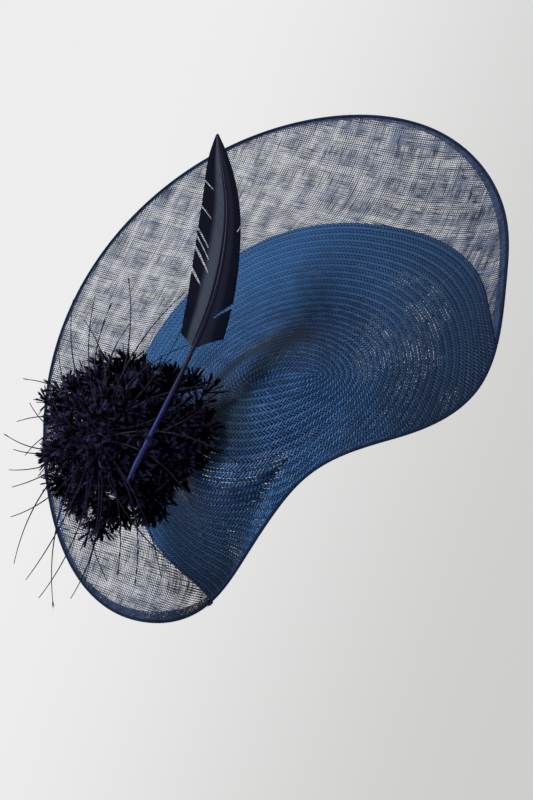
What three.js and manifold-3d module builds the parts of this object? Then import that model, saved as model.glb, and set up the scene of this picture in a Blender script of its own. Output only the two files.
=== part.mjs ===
// Fascinator headpiece: a blocked straw dish with a sinamay brim, a hidden base with a hair comb,
// and a feather arrangement. Millimetres, +Z up, as worn: +X to the wearer's left, -Y to the front.
// The origin is where the base's dome rests on the head.
import * as THREE from 'three';
import { mergeVertices } from 'three/addons/utils/BufferGeometryUtils.js';
import Module from 'manifold-3d';

const wasm = await Module();
wasm.setup();

const degree = Math.PI / 180;
const goldenAngle = Math.PI * (3 - Math.sqrt(5));

// How the hat sits on the head: its turns about X, Y and Z in degrees
const hatLean = 49;
const hatRoll = -30;
const hatTurn = 26;

// Clearance between pieces that touch
const gap = 0.3;

// Straw dish
const strawThickness = 1.5;
const weavePitch = 8.75;
const strawRows = 28;
const crownHeight = 19;
const crownLength = 92;
const crownWidth = 70;
const crownTurn = 34;
const crownShoulder = { reach: 0.55, fall: 0.35 };
const creaseTilt = { along: -13, across: -4 };

// The block's sections around the hat, from the long axis (0) by the back (90) and the
// wearer's right (180) to the front (270): how far the rim reaches from the crown's centre,
// and the height over the crease at one third, two thirds and all of the brim's width.
const sections = [
  { at: 0, reach: 287, inner: -29, middle: -32, rim: -12 },
  { at: 30, reach: 342, inner: -31, middle: -35, rim: -11 },
  { at: 60, reach: 376, inner: -21, middle: -24, rim: -4 },
  { at: 90, reach: 398, inner: -23, middle: -33, rim: -20 },
  { at: 120, reach: 368, inner: -39, middle: -61, rim: -61 },
  { at: 150, reach: 321, inner: -61, middle: -111, rim: -134 },
  { at: 180, reach: 236, inner: -60, middle: -122, rim: -134 },
  { at: 205, reach: 181, inner: -42, middle: -89, rim: -94 },
  { at: 225, reach: 146, inner: -23, middle: -45, rim: -49 },
  { at: 245, reach: 127, inner: -6, middle: -14, rim: -17 },
  { at: 270, reach: 125, inner: 0, middle: 0, rim: 2 },
  { at: 295, reach: 154, inner: -7, middle: -10, rim: -9 },
  { at: 320, reach: 216, inner: -20, middle: -29, rim: -32 },
  { at: 340, reach: 254, inner: -25, middle: -32, rim: -6 },
];
const shoulderShare = 0.11;
const creaseShare = 0.22;
const radialKnots = [0, shoulderShare, creaseShare, 0.48, 0.74, 1];
const roundSteps = 60;
const crownSteps = 4;
const dishSteps = 6;
const brimSteps = 4;

// Sinamay brim
const plyThickness = 0.5;
const seamLap = 10;
const narrowestBrim = 2;

// Rolled edge and its wire
const bindingWall = 0.6;
const bindingLip = 4;
const slotPlay = 0.7;
const edgeWireRadius = 0.6;
const joinerWall = 0.3;
const joinerLength = 14;
const joinerStep = 17;
const wireEndGap = 1;

// Base, and how far its dome stands under the crown's middle
const crownClearance = 1.4;
const headRadius = 90;
const baseThickness = 2.5;
const baseRimRadius = 62;
const baseWidthRatio = 0.85;
const baseWireRadius = 0.6;
const baseBindingWall = 0.8;
const baseBindingRise = 6;
const ribbonThickness = 0.8;
const ribbonWidth = 15;
const roundSegments = 32;

// Hair comb, sewn inside the base near its front
const combLength = 44;
const combSpineRadius = 1.4;
const combTeeth = 12;
const combToothRadius = 0.6;
const combToothLength = 34;
const combPlace = 27;
const combStitchRadius = 0.4;

// Feather mount on the straw, and the cluster that stands on it
const padAt = 172;
const padArc = 95;
const padRadius = 18;
const padThickness = 3;
const padLift = 0.35;
const clusterCentre = new THREE.Vector3(-123, 0, -52);
const clusterAxis = new THREE.Vector3(-0.45, -0.87, 0.2).normalize();
const clusterRadius = 84;
const clusterBulge = 34;
const rosetteCount = 26;
const rosetteRadius = 13;
const rosetteDepth = 9;
const rosetteDish = 4;
const rosetteBlades = 9;
const stemRadius = 0.9;
const stemLift = 0.9;
const firstStem = 3.5;
const firstTurn = 0.2;

// Bunches of stripped quills: the bead they are bound in, how far it stands out over the
// cluster, and each quill's direction round the cluster's axis and length
const beadRadius = 3;
const quillButt = 0.9;
const quillTip = 0.4;
const quillDip = 0.12;
const bunches = [
  {
    name: 'quill_bunch_upper', rise: 42, side: 5,
    quills: [[22, 118], [26, 104], [65, 150], [85, 106], [90, 146], [105, 138], [115, 144]],
  },
  {
    name: 'quill_bunch_outer', rise: 47, side: -1,
    quills: [[127, 108], [143, 86], [172, 104], [187, 104], [198, 106], [218, 126]],
  },
  {
    name: 'quill_bunch_lower', rise: 52, side: -7,
    quills: [[249, 158], [255, 156], [267, 134], [278, 130], [291, 134], [301, 144], [312, 166], [353, 145]],
  },
];

// Trimmed quill feather, from its cut butt to its tip
const shaftRoute = [
  new THREE.Vector3(-116, -84, -86),
  new THREE.Vector3(-87, -62, -26),
  new THREE.Vector3(-56, -37, 40),
  new THREE.Vector3(-37, -12, 93),
  new THREE.Vector3(-27, 20, 167),
  new THREE.Vector3(-37, 56, 249),
];
const shaftButt = 2.8;
const shaftTip = 0.5;
const featherFace = new THREE.Vector3(-0.25, -0.95, 0.15).normalize();
const vaneFoot = 0.38;
const vaneThickness = 0.5;
const leftVane = { along: [0, 0.15, 0.4, 0.65, 0.85, 0.95, 1], wide: [14, 22, 30, 27, 18, 9, 2] };
const rightVane = { along: [0, 0.15, 0.35, 0.6, 0.8, 0.93, 1], wide: [25, 22, 18, 15, 12, 6, 2] };
const postRadius = 1;
const postAlong = 0.12;
const tieRadius = 0.8;

// Small curled strip of quill on the lower lobe
const curl = { at: [139, 142, 147], arc: [344, 356, 360], radius: 1.3, lift: 0.8 };

function material(colour, roughness, metalness = 0) {
  return new THREE.MeshStandardMaterial({ color: colour, roughness, metalness });
}

const strawBlue = material(0x24406e, 0.55);
const sinamayBlue = material(0x3c4658, 0.7);
const bindingBlue = material(0x1f3560, 0.6);
const featherDark = material(0x14142c, 0.5);
const quillBlue = material(0x23348c, 0.35);
const steel = material(0xb8bcc0, 0.3, 1);
const ribbonNavy = material(0x1a2442, 0.8);

// Natural cubic spline through (xs, ys)
function spline(xs, ys) {
  const last = xs.length - 1;
  const bend = new Array(last + 1).fill(0);
  const carry = new Array(last + 1).fill(0);
  for (let i = 1; i < last; i++) {
    const before = xs[i] - xs[i - 1];
    const after = xs[i + 1] - xs[i];
    const pivot = 2 * (before + after) - before * carry[i - 1];
    const turn = (ys[i + 1] - ys[i]) / after - (ys[i] - ys[i - 1]) / before;
    carry[i] = after / pivot;
    bend[i] = (6 * turn - before * bend[i - 1]) / pivot;
  }
  for (let i = last - 1; i > 0; i--) {
    bend[i] -= carry[i] * bend[i + 1];
  }
  return (x) => {
    let k = 1;
    while (k < last && x > xs[k]) {
      k += 1;
    }
    const span = xs[k] - xs[k - 1];
    const a = (xs[k] - x) / span;
    const b = (x - xs[k - 1]) / span;
    const bulge = ((a ** 3 - a) * bend[k - 1] + (b ** 3 - b) * bend[k]) * span * span / 6;
    return a * ys[k - 1] + b * ys[k] + bulge;
  };
}

// Spline round the hat: the sections are repeated on both sides, so that it closes smoothly
function aroundSpline(key) {
  const xs = [];
  const ys = [];
  for (const turn of [-360, 0, 360]) {
    for (const section of sections) {
      xs.push(section.at + turn);
      ys.push(section[key]);
    }
  }
  return spline(xs, ys);
}

const around = {
  reach: aroundSpline('reach'),
  inner: aroundSpline('inner'),
  middle: aroundSpline('middle'),
  rim: aroundSpline('rim'),
};

// Line from the crown's centre out to the rim at one angle, mirrored through the centre
function meridian(at) {
  const angle = at * degree;
  const ovalAngle = (at - crownTurn) * degree;
  const crown = 1 / Math.hypot(Math.cos(ovalAngle) / crownLength, Math.sin(ovalAngle) / crownWidth);
  const crease = creaseTilt.along * Math.cos(angle) + creaseTilt.across * Math.sin(angle);
  const third = (around.reach(at) - crown) / 3;
  const shoulder = crownHeight + (crease - crownHeight) * crownShoulder.fall;
  const reaches = [0, crown * crownShoulder.reach, crown, crown + third, crown + 2 * third, crown + 3 * third];
  const heights = [crownHeight, shoulder, crease, around.inner(at), around.middle(at), around.rim(at)];
  const knots = [-creaseShare, -shoulderShare, ...radialKnots];
  const reachAt = spline(knots, [-reaches[2], -reaches[1], ...reaches]);
  const heightAt = spline(knots, [heights[2], heights[1], ...heights]);
  const point = (t) => {
    const reach = reachAt(t);
    return new THREE.Vector3(reach * Math.cos(angle), reach * Math.sin(angle), heightAt(t));
  };
  const steps = 60;
  const arcs = [0];
  for (let i = 1; i <= steps; i++) {
    arcs.push(arcs[i - 1] + point(i / steps).distanceTo(point((i - 1) / steps)));
  }
  const shareAt = (arc) => {
    let k = 1;
    while (k < steps && arcs[k] < arc) {
      k += 1;
    }
    return Math.min(1, (k - 1 + (arc - arcs[k - 1]) / (arcs[k] - arcs[k - 1])) / steps);
  };
  return { point, shareAt, length: arcs[steps] };
}

const sineStep = 0.01;

// Point, outward direction and upward normal of the dish's upper face
function faceAt(at, share) {
  const here = meridian(at);
  const point = here.point(share);
  const out = here.point(share).sub(here.point(share - sineStep)).normalize();
  const beside = meridian(at + 1).point(Math.max(share, sineStep));
  const side = beside.sub(meridian(at - 1).point(Math.max(share, sineStep))).normalize();
  const normal = share < sineStep ? new THREE.Vector3(0, 0, 1) : out.clone().cross(side).normalize();
  return { point, out, normal };
}

function mesh(name, geometry, look) {
  const piece = new THREE.Mesh(geometry, look);
  piece.name = name;
  return piece;
}

// Closed body from a list of triangles, leaving out those that have closed up to nothing
function bodyFrom(triangles) {
  const points = [];
  for (const [a, b, c] of triangles) {
    if (a.distanceTo(b) > 1e-6 && b.distanceTo(c) > 1e-6 && c.distanceTo(a) > 1e-6) {
      points.push(a, b, c);
    }
  }
  return mergeVertices(new THREE.BufferGeometry().setFromPoints(points), 1e-5);
}

// Wall between two grids of points, upper and lower; rows run round or along the piece
function wallBetween(upper, lower, closed) {
  const triangles = [];
  const rows = upper.length;
  const last = upper[0].length - 1;
  const quad = (a, b, c, d) => triangles.push([a, b, c], [a, c, d]);
  for (let i = 0; i < (closed ? rows : rows - 1); i++) {
    const n = (i + 1) % rows;
    for (let j = 0; j < last; j++) {
      quad(upper[i][j], upper[i][j + 1], upper[n][j + 1], upper[n][j]);
      triangles.push([lower[i][j], lower[n][j + 1], lower[i][j + 1]]);
      triangles.push([lower[i][j], lower[n][j], lower[n][j + 1]]);
    }
    quad(upper[i][last], lower[i][last], lower[n][last], upper[n][last]);
    quad(upper[n][0], lower[n][0], lower[i][0], upper[i][0]);
  }
  if (!closed) {
    for (let j = 0; j < last; j++) {
      quad(upper[0][j + 1], upper[0][j], lower[0][j], lower[0][j + 1]);
      quad(upper[rows - 1][j], upper[rows - 1][j + 1], lower[rows - 1][j + 1], lower[rows - 1][j]);
    }
  }
  return bodyFrom(triangles);
}

// Sheet that follows the dish at a depth under its upper face
function sheet(lines, depth, thickness, closed) {
  const offset = (frame, by) => frame.point.clone().addScaledVector(frame.normal, by);
  const upper = lines.map((line) => line.map((frame) => offset(frame, -depth)));
  const lower = lines.map((line) => line.map((frame) => offset(frame, -depth - thickness)));
  return wallBetween(upper, lower, closed);
}

const angles = Array.from({ length: roundSteps }, (_, i) => i * 360 / roundSteps);
const seamArc = strawRows * weavePitch;

// The brim runs where it is wide enough, from one front corner round the back, and one step more
// at each end, where it is at its narrowest
const brimAngles = (() => {
  const wide = (at) => meridian(at).length > seamArc + narrowestBrim;
  const start = angles.findIndex((at, i) => wide(at) && !wide(angles.at(i - 1)));
  const turned = [...angles.slice(start), ...angles.slice(0, start)];
  const count = turned.findIndex((at) => !wide(at));
  return [turned.at(-1), ...turned.slice(0, count + 1)];
})();

// Shares of the meridian at the lap's inner line and at the straw's edge, which is the seam
// where there is a brim and the rim in front
function seamShares(at) {
  const line = meridian(at);
  const edge = brimAngles.includes(at) ? Math.min(seamArc, line.length - narrowestBrim) : line.length;
  return { lap: line.shareAt(edge - seamLap), seam: line.shareAt(edge) };
}

function strawDish() {
  const lines = angles.map((at) => {
    const { lap, seam } = seamShares(at);
    const crown = Array.from({ length: crownSteps }, (_, j) => creaseShare * j / crownSteps);
    const dish = Array.from({ length: dishSteps + 1 }, (_, j) => creaseShare + (lap - creaseShare) * j / dishSteps);
    return [...crown, ...dish, seam].map((share) => faceAt(at, share));
  });
  return mesh('straw_dish', sheet(lines, 0, strawThickness, true), strawBlue);
}

function sinamayPly(name, layer) {
  const depth = strawThickness + gap + layer * (plyThickness + gap);
  const lines = brimAngles.map((at) => {
    const { lap, seam } = seamShares(at);
    const outer = Array.from({ length: brimSteps }, (_, j) => seam + (1 - seam) * (j + 1) / brimSteps);
    return [lap, seam, ...outer].map((share) => faceAt(at, share));
  });
  return mesh(name, sheet(lines, depth, plyThickness, false), sinamayBlue);
}

// Frames along the rim, at the middle of the stacked sheets
const stack = strawThickness + 2 * (plyThickness + gap);

function rimFrames() {
  const faces = angles.map((at) => faceAt(at, 1));
  return faces.map((face, i) => {
    const next = faces[(i + 1) % faces.length].point;
    const before = faces.at(i - 1).point;
    const along = next.clone().sub(before).normalize();
    const normal = face.normal;
    const out = along.clone().cross(normal).normalize();
    return { origin: face.point.clone().addScaledVector(normal, -stack / 2), out, normal };
  });
}

// Sweep of a section, given as [out, normal] pairs, along frames
function sweep(frames, outline, closed) {
  const along = frames[1].origin.clone().sub(frames[0].origin);
  const rightHanded = frames[0].out.clone().cross(frames[0].normal).dot(along) > 0;
  const section = rightHanded ? outline : outline.slice().reverse();
  const rings = frames.map(({ origin, out, normal, size = 1 }) => section.map(([o, n]) => (
    origin.clone().addScaledVector(out, o * size).addScaledVector(normal, n * size)
  )));
  const triangles = [];
  for (let i = 0; i < (closed ? rings.length : rings.length - 1); i++) {
    const here = rings[i];
    const next = rings[(i + 1) % rings.length];
    for (let j = 0; j < section.length; j++) {
      const k = (j + 1) % section.length;
      triangles.push([here[j], here[k], next[k]], [here[j], next[k], next[j]]);
    }
  }
  if (!closed) {
    const flat = section.map(([o, n]) => new THREE.Vector2(o, n));
    const end = rings.at(-1);
    for (const face of THREE.ShapeUtils.triangulateShape(flat, [])) {
      const sameWay = THREE.ShapeUtils.area(face.map((k) => flat[k])) * THREE.ShapeUtils.area(flat) > 0;
      const [a, b, c] = sameWay ? face : face.slice().reverse();
      triangles.push([rings[0][a], rings[0][c], rings[0][b]], [end[a], end[b], end[c]]);
    }
  }
  return bodyFrom(triangles);
}

function ringSection(radius, sides) {
  return Array.from({ length: sides }, (_, i) => {
    const turn = 2 * Math.PI * i / sides;
    return [radius * Math.cos(turn), radius * Math.sin(turn)];
  });
}

// The rolled edge holds the sheets in its slot and the wire and its joiner outside them
const joinerRadius = edgeWireRadius + gap + joinerWall;
const wireOut = 2 * gap + joinerRadius;
const slotHalf = Math.max(stack / 2, joinerRadius) + slotPlay;

function rolledSection() {
  const outside = wireOut + joinerRadius + gap + bindingWall;
  const half = slotHalf + bindingWall;
  return [
    [-bindingLip, -half], [outside - 1, -half], [outside, 1 - half], [outside, half - 1],
    [outside - 1, half], [-bindingLip, half], [-bindingLip, slotHalf],
    [outside - bindingWall, slotHalf], [outside - bindingWall, -slotHalf], [-bindingLip, -slotHalf],
  ];
}

function rolledEdge(name, frames, look) {
  return mesh(name, sweep(frames, rolledSection(), false), look);
}

// The two bindings meet end to end where the brim starts and ends
function bindings() {
  const frames = rimFrames();
  const brim = brimAngles.map((at) => angles.indexOf(at));
  const brimFrames = brim.map((i) => frames[i]);
  const frontCount = roundSteps - brim.length + 2;
  const front = Array.from({ length: frontCount }, (_, i) => frames[(brim.at(-1) + i) % roundSteps]);
  const shorten = (list) => {
    const cut = list.slice();
    const pull = (a, b) => ({ ...a, origin: a.origin.clone().lerp(b.origin, gap / a.origin.distanceTo(b.origin)) });
    cut[0] = pull(list[0], list[1]);
    cut[cut.length - 1] = pull(list.at(-1), list.at(-2));
    return cut;
  };
  return [
    rolledEdge('brim_binding', brimFrames, bindingBlue),
    rolledEdge('front_binding', shorten(front), bindingBlue),
  ];
}

// Edge wire, open inside the joiner's sleeve
function edgeWire() {
  const frames = rimFrames().map((frame) => ({
    ...frame, origin: frame.origin.clone().addScaledVector(frame.out, wireOut),
  }));
  const a = frames[joinerStep];
  const b = frames[joinerStep + 1];
  const chord = b.origin.clone().sub(a.origin);
  const middle = a.origin.clone().addScaledVector(chord, 0.5);
  const axis = chord.clone().normalize();
  const ends = [1, -1].map((side) => ({
    ...(side > 0 ? b : a), origin: middle.clone().addScaledVector(axis, side * wireEndGap / 2),
  }));
  const loop = Array.from({ length: roundSteps }, (_, i) => frames[(joinerStep + 1 + i) % roundSteps]);
  const wire = mesh('edge_wire', sweep([ends[0], ...loop, ends[1]], ringSection(edgeWireRadius, 6), false), steel);

  const outer = new THREE.Shape();
  outer.absarc(0, 0, joinerRadius, 0, 2 * Math.PI, false);
  const bore = new THREE.Path();
  bore.absarc(0, 0, joinerRadius - joinerWall, 0, 2 * Math.PI, true);
  outer.holes.push(bore);
  const tube = new THREE.ExtrudeGeometry(outer, { depth: joinerLength, bevelEnabled: false, curveSegments: 10 });
  tube.translate(0, 0, -joinerLength / 2);
  const joiner = mesh('wire_joiner', tube, steel);
  joiner.position.copy(middle);
  joiner.quaternion.setFromUnitVectors(new THREE.Vector3(0, 0, 1), axis);
  return [wire, joiner];
}

// Base: parts turned about the head's radius, then narrowed front to back
const seatHeight = crownHeight - strawThickness - crownClearance - baseThickness;

function onHead(radius, turn) {
  return new THREE.Vector2(radius * Math.sin(turn), radius * Math.cos(turn) - headRadius);
}

function turned(name, profile, look) {
  const geometry = new THREE.LatheGeometry(profile, roundSegments);
  geometry.rotateX(Math.PI / 2);
  geometry.scale(1, baseWidthRatio, 1);
  const piece = mesh(name, geometry, look);
  piece.position.z = seatHeight;
  return piece;
}

function arcPoints(radius, from, to, steps) {
  return Array.from({ length: steps + 1 }, (_, i) => onHead(radius, from + (to - from) * i / steps));
}

const rimTurn = Math.asin(baseRimRadius / headRadius);

function baseParts() {
  const outer = headRadius + baseThickness;
  const cap = [...arcPoints(headRadius, 0, rimTurn, 6), ...arcPoints(outer, rimTurn, 0, 6)];
  cap[0].x = 0;
  cap.at(-1).x = 0;

  const wireTurn = rimTurn + (gap * 2 + baseWireRadius) / headRadius;
  const wireCentre = onHead(headRadius + baseThickness / 2, wireTurn);
  const wire = ringSection(baseWireRadius, 6).map(([x, y]) => new THREE.Vector2(wireCentre.x + x, wireCentre.y + y));
  wire.push(wire[0].clone());

  const lipTurn = rimTurn - baseBindingRise / headRadius;
  const endTurn = wireTurn + (gap * 2 + baseWireRadius) / headRadius;
  const inside = headRadius - gap;
  const outside = outer + gap;
  const outerFace = outside + baseBindingWall;
  const innerFace = inside - baseBindingWall;
  const floor = onHead(inside, endTurn).y - baseBindingWall;
  const binding = [
    onHead(inside, lipTurn), onHead(innerFace, lipTurn),
    new THREE.Vector2(onHead(innerFace, endTurn).x, floor), new THREE.Vector2(onHead(outerFace, endTurn).x, floor),
    onHead(outerFace, endTurn), onHead(outerFace, lipTurn), onHead(outside, lipTurn),
    onHead(outside, endTurn), onHead(inside, endTurn), onHead(inside, lipTurn),
  ];

  const ribbonEnd = lipTurn - gap / headRadius;
  const ribbonStart = ribbonEnd - ribbonWidth / headRadius;
  const ribbonFace = headRadius - gap;
  const ribbon = [
    ...arcPoints(ribbonFace - ribbonThickness, ribbonStart, ribbonEnd, 2),
    ...arcPoints(ribbonFace, ribbonEnd, ribbonStart, 2),
  ];
  ribbon.push(ribbon[0].clone());
  return [
    turned('base_cap', cap, ribbonNavy),
    turned('base_wire', wire, steel),
    turned('base_binding', binding, ribbonNavy),
    turned('petersham_ribbon', ribbon, ribbonNavy),
  ];
}

function solid(geometry) {
  const plain = geometry.clone();
  plain.deleteAttribute('normal');
  plain.deleteAttribute('uv');
  const merged = mergeVertices(plain, 1e-5);
  const vertProperties = new Float32Array(merged.attributes.position.array);
  const triVerts = new Uint32Array(merged.index.array);
  return new wasm.Manifold(new wasm.Mesh({ numProp: 3, vertProperties, triVerts }));
}

function joined(geometries) {
  const whole = geometries.map(solid).reduce((sum, part) => sum.add(part)).getMesh();
  const geometry = new THREE.BufferGeometry();
  geometry.setAttribute('position', new THREE.BufferAttribute(new Float32Array(whole.vertProperties), 3));
  geometry.setIndex(new THREE.BufferAttribute(new Uint32Array(whole.triVerts), 1));
  return geometry;
}

// Straight rod between two points, with a radius at each
function rod(from, to, startRadius, endRadius, sides) {
  const length = from.distanceTo(to);
  const geometry = new THREE.CylinderGeometry(endRadius, startRadius, length, sides);
  geometry.translate(0, length / 2, 0);
  const turn = new THREE.Quaternion();
  turn.setFromUnitVectors(new THREE.Vector3(0, 1, 0), to.clone().sub(from).normalize());
  return geometry.applyQuaternion(turn).translate(from.x, from.y, from.z);
}

// Height of the base's inner dome over a point, in the hat's own frame
function roofOver(x, y) {
  const across = Math.hypot(x, y / baseWidthRatio);
  return Math.sqrt(headRadius ** 2 - across ** 2) - headRadius + seatHeight;
}

// Comb spine's centre, under the dome where the spine's ends come closest to it
const combCentre = new THREE.Vector3(0, -combPlace, roofOver(combLength / 2, combPlace) - gap - combSpineRadius);

function comb() {
  const half = combLength / 2;
  const spine = rod(new THREE.Vector3(-half, 0, 0), new THREE.Vector3(half, 0, 0), combSpineRadius, combSpineRadius, 8);
  const parts = [spine];
  const pitch = (combLength - 4 * combToothRadius) / (combTeeth - 1);
  for (let i = 0; i < combTeeth; i++) {
    const x = (i - (combTeeth - 1) / 2) * pitch;
    const root = new THREE.Vector3(x, 0, 0);
    parts.push(rod(root, new THREE.Vector3(x, combToothLength, 0), combToothRadius, combToothRadius / 2, 6));
  }
  const piece = mesh('hair_comb', joined(parts), steel);
  piece.position.copy(combCentre);
  return piece;
}

// Thread loops that whip the comb's spine to the base, each between two teeth
function combStitches() {
  const pitch = (combLength - 4 * combToothRadius) / (combTeeth - 1);
  const inner = combSpineRadius + gap;
  return [-4, 0, 4].map((step, i) => {
    const x = step * pitch;
    const spread = inner + combStitchRadius;
    const points = [];
    const legTop = (y) => roofOver(x, combCentre.y + y) - combCentre.z - gap - combStitchRadius;
    points.push(new THREE.Vector3(0, -spread, legTop(-spread)));
    for (let k = 0; k <= 6; k++) {
      const turn = Math.PI + Math.PI * k / 6;
      points.push(new THREE.Vector3(0, spread * Math.cos(turn), spread * Math.sin(turn)));
    }
    points.push(new THREE.Vector3(0, spread, legTop(spread)));
    const frames = points.map((origin, k) => {
      const ahead = points[Math.min(k + 1, points.length - 1)];
      const along = ahead.clone().sub(points[Math.max(k - 1, 0)]).normalize();
      const out = new THREE.Vector3(1, 0, 0);
      return { origin, out, normal: along.clone().cross(out) };
    });
    const stitch = mesh(`comb_stitch_${i + 1}`, sweep(frames, ringSection(combStitchRadius, 5), false), ribbonNavy);
    stitch.position.set(x, combCentre.y, combCentre.z);
    return stitch;
  });
}

// The hat's frame in the worn frame
const hat = new THREE.Group();
hat.rotation.set(hatLean * degree, hatRoll * degree, hatTurn * degree);
hat.position.set(0, 0, -seatHeight).applyEuler(hat.rotation);
hat.updateMatrixWorld();

const padFace = (() => {
  const local = faceAt(padAt, meridian(padAt).shareAt(padArc));
  const point = local.point.clone().applyMatrix4(hat.matrixWorld);
  const normal = local.normal.clone().transformDirection(hat.matrixWorld);
  return { point, normal };
})();

function pad() {
  const disc = new THREE.CylinderGeometry(padRadius, padRadius, padThickness, 20);
  disc.rotateX(Math.PI / 2);
  disc.translate(0, 0, padLift + padThickness / 2);
  const piece = mesh('feather_pad', disc, ribbonNavy);
  piece.position.copy(padFace.point);
  piece.quaternion.setFromUnitVectors(new THREE.Vector3(0, 0, 1), padFace.normal);
  return piece;
}

// Basis across the cluster's axis: right as seen from the front, and up
const clusterUp = new THREE.Vector3(0, 0, 1).addScaledVector(clusterAxis, -clusterAxis.z).normalize();
const clusterRight = clusterUp.clone().cross(clusterAxis).normalize();

function inCluster(turn, radius, rise) {
  return clusterCentre.clone()
    .addScaledVector(clusterRight, radius * Math.cos(turn))
    .addScaledVector(clusterUp, radius * Math.sin(turn))
    .addScaledVector(clusterAxis, rise);
}

// Where a stem stands on the pad
function onPad(turn, radius) {
  const up = clusterUp.clone().projectOnPlane(padFace.normal).normalize();
  const right = up.clone().cross(padFace.normal);
  return padFace.point.clone()
    .addScaledVector(right, radius * Math.cos(turn))
    .addScaledVector(up, radius * Math.sin(turn))
    .addScaledVector(padFace.normal, padLift + padThickness + stemLift);
}

function rosettes() {
  const pieces = [];
  for (let i = 0; i < rosetteCount; i++) {
    const share = Math.sqrt((i + firstStem) / (rosetteCount + firstStem));
    const turn = firstTurn + i * goldenAngle;
    const foot = onPad(turn, (padRadius - 2 * stemRadius) * share);
    const head = inCluster(turn, clusterRadius * share, clusterBulge * (1 - share * share));
    const length = foot.distanceTo(head);
    const profile = [
      new THREE.Vector2(0, 0), new THREE.Vector2(stemRadius, 0), new THREE.Vector2(stemRadius, length - rosetteDepth),
      new THREE.Vector2(rosetteRadius, length), new THREE.Vector2(0, length - rosetteDish),
    ];
    const piece = mesh(`rosette_${String(i + 1).padStart(2, '0')}`, new THREE.LatheGeometry(profile, rosetteBlades), featherDark);
    piece.position.copy(foot);
    piece.quaternion.setFromUnitVectors(new THREE.Vector3(0, 1, 0), head.clone().sub(foot).normalize());
    pieces.push(piece);
  }
  return pieces;
}

// A bunch: a stem from the pad, the bead, and its quills
function bunch({ name, rise, side, quills }) {
  const bead = inCluster(90 * degree, side, rise);
  const foot = onPad(90 * degree, side);
  const ball = new THREE.IcosahedronGeometry(beadRadius, 1).translate(bead.x, bead.y, bead.z);
  const parts = [ball, rod(foot, bead, stemRadius, stemRadius, 6)];
  for (const [turn, length] of quills) {
    const tip = inCluster(turn * degree, length, rise - quillDip * length).add(bead.clone().sub(inCluster(0, 0, rise)));
    parts.push(rod(bead, tip, quillButt, quillTip, 5));
  }
  return mesh(name, joined(parts), featherDark);
}

const shaftCurve = new THREE.CatmullRomCurve3(shaftRoute);
const shaftSteps = 26;

function shaftFrame(share) {
  const origin = shaftCurve.getPointAt(share);
  const along = shaftCurve.getTangentAt(share);
  const out = featherFace.clone().cross(along).normalize();
  return { origin, along, out, normal: along.clone().cross(out), size: THREE.MathUtils.lerp(shaftButt, shaftTip, share) };
}

function shaft() {
  const frames = Array.from({ length: shaftSteps + 1 }, (_, i) => shaftFrame(i / shaftSteps));
  return mesh('quill_shaft', sweep(frames, ringSection(1, 8), false), quillBlue);
}

function vane(name, side, { along, wide }) {
  const width = spline(along, wide);
  const steps = Math.round(shaftSteps * (1 - vaneFoot));
  const upper = [];
  const lower = [];
  for (let i = 0; i <= steps; i++) {
    const frame = shaftFrame(vaneFoot + (1 - vaneFoot) * i / steps);
    const edges = [frame.size + gap, frame.size + gap + width(i / steps)].map((by) => (
      frame.origin.clone().addScaledVector(frame.out, side * by)
    ));
    const offset = (points, by) => points.map((p) => p.clone().addScaledVector(frame.normal, by * side));
    upper.push(offset(edges, -vaneThickness / 2));
    lower.push(offset(edges, vaneThickness / 2));
  }
  return mesh(name, wallBetween(upper, lower, false), featherDark);
}

// Wire post from the pad with a thread tie round the shaft
function post() {
  const { origin, along, out, normal, size } = shaftFrame(postAlong);
  const ringRadius = size + gap + tieRadius;
  const frames = Array.from({ length: 16 }, (_, i) => {
    const turn = 2 * Math.PI * i / 16;
    const away = out.clone().multiplyScalar(Math.cos(turn)).addScaledVector(normal, Math.sin(turn));
    return { origin: origin.clone().addScaledVector(away, ringRadius), out: away, normal: along };
  });
  const tie = sweep(frames, ringSection(tieRadius, 6), true);
  const foot = onPad(-60 * degree, 3);
  const reach = origin.clone().sub(foot);
  const top = foot.clone().addScaledVector(reach, 1 - ringRadius / reach.length());
  return mesh('feather_post', joined([tie, rod(foot, top, postRadius, postRadius, 6)]), steel);
}

function curledStrip() {
  const points = curl.at.map((at, i) => {
    const face = faceAt(at, meridian(at).shareAt(curl.arc[i]));
    return face.point.addScaledVector(face.normal, curl.radius + curl.lift - strawThickness);
  });
  const route = new THREE.CatmullRomCurve3(points);
  const shape = new THREE.Shape(ringSection(curl.radius, 6).map(([x, y]) => new THREE.Vector2(x, y)));
  return mesh('curled_quill', new THREE.ExtrudeGeometry(shape, { extrudePath: route, steps: 10 }), quillBlue);
}

hat.add(strawDish(), sinamayPly('sinamay_upper_ply', 0), sinamayPly('sinamay_under_ply', 1));
hat.add(...bindings(), ...edgeWire(), ...baseParts(), comb(), ...combStitches(), curledStrip());

const headpiece = new THREE.Group();
headpiece.add(hat, pad(), ...rosettes(), ...bunches.map(bunch), shaft());
headpiece.add(vane('vane_left', -1, leftVane), vane('vane_right', 1, rightVane), post());

export default headpiece;
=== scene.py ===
# Fascinator headpiece: blocked straw dish, sheer sinamay brim, trimmed quill and feather cluster.
# Metres, +Z up. Lengths in the dictionaries are millimetres and angles are degrees.
import math
from functools import partial

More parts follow.
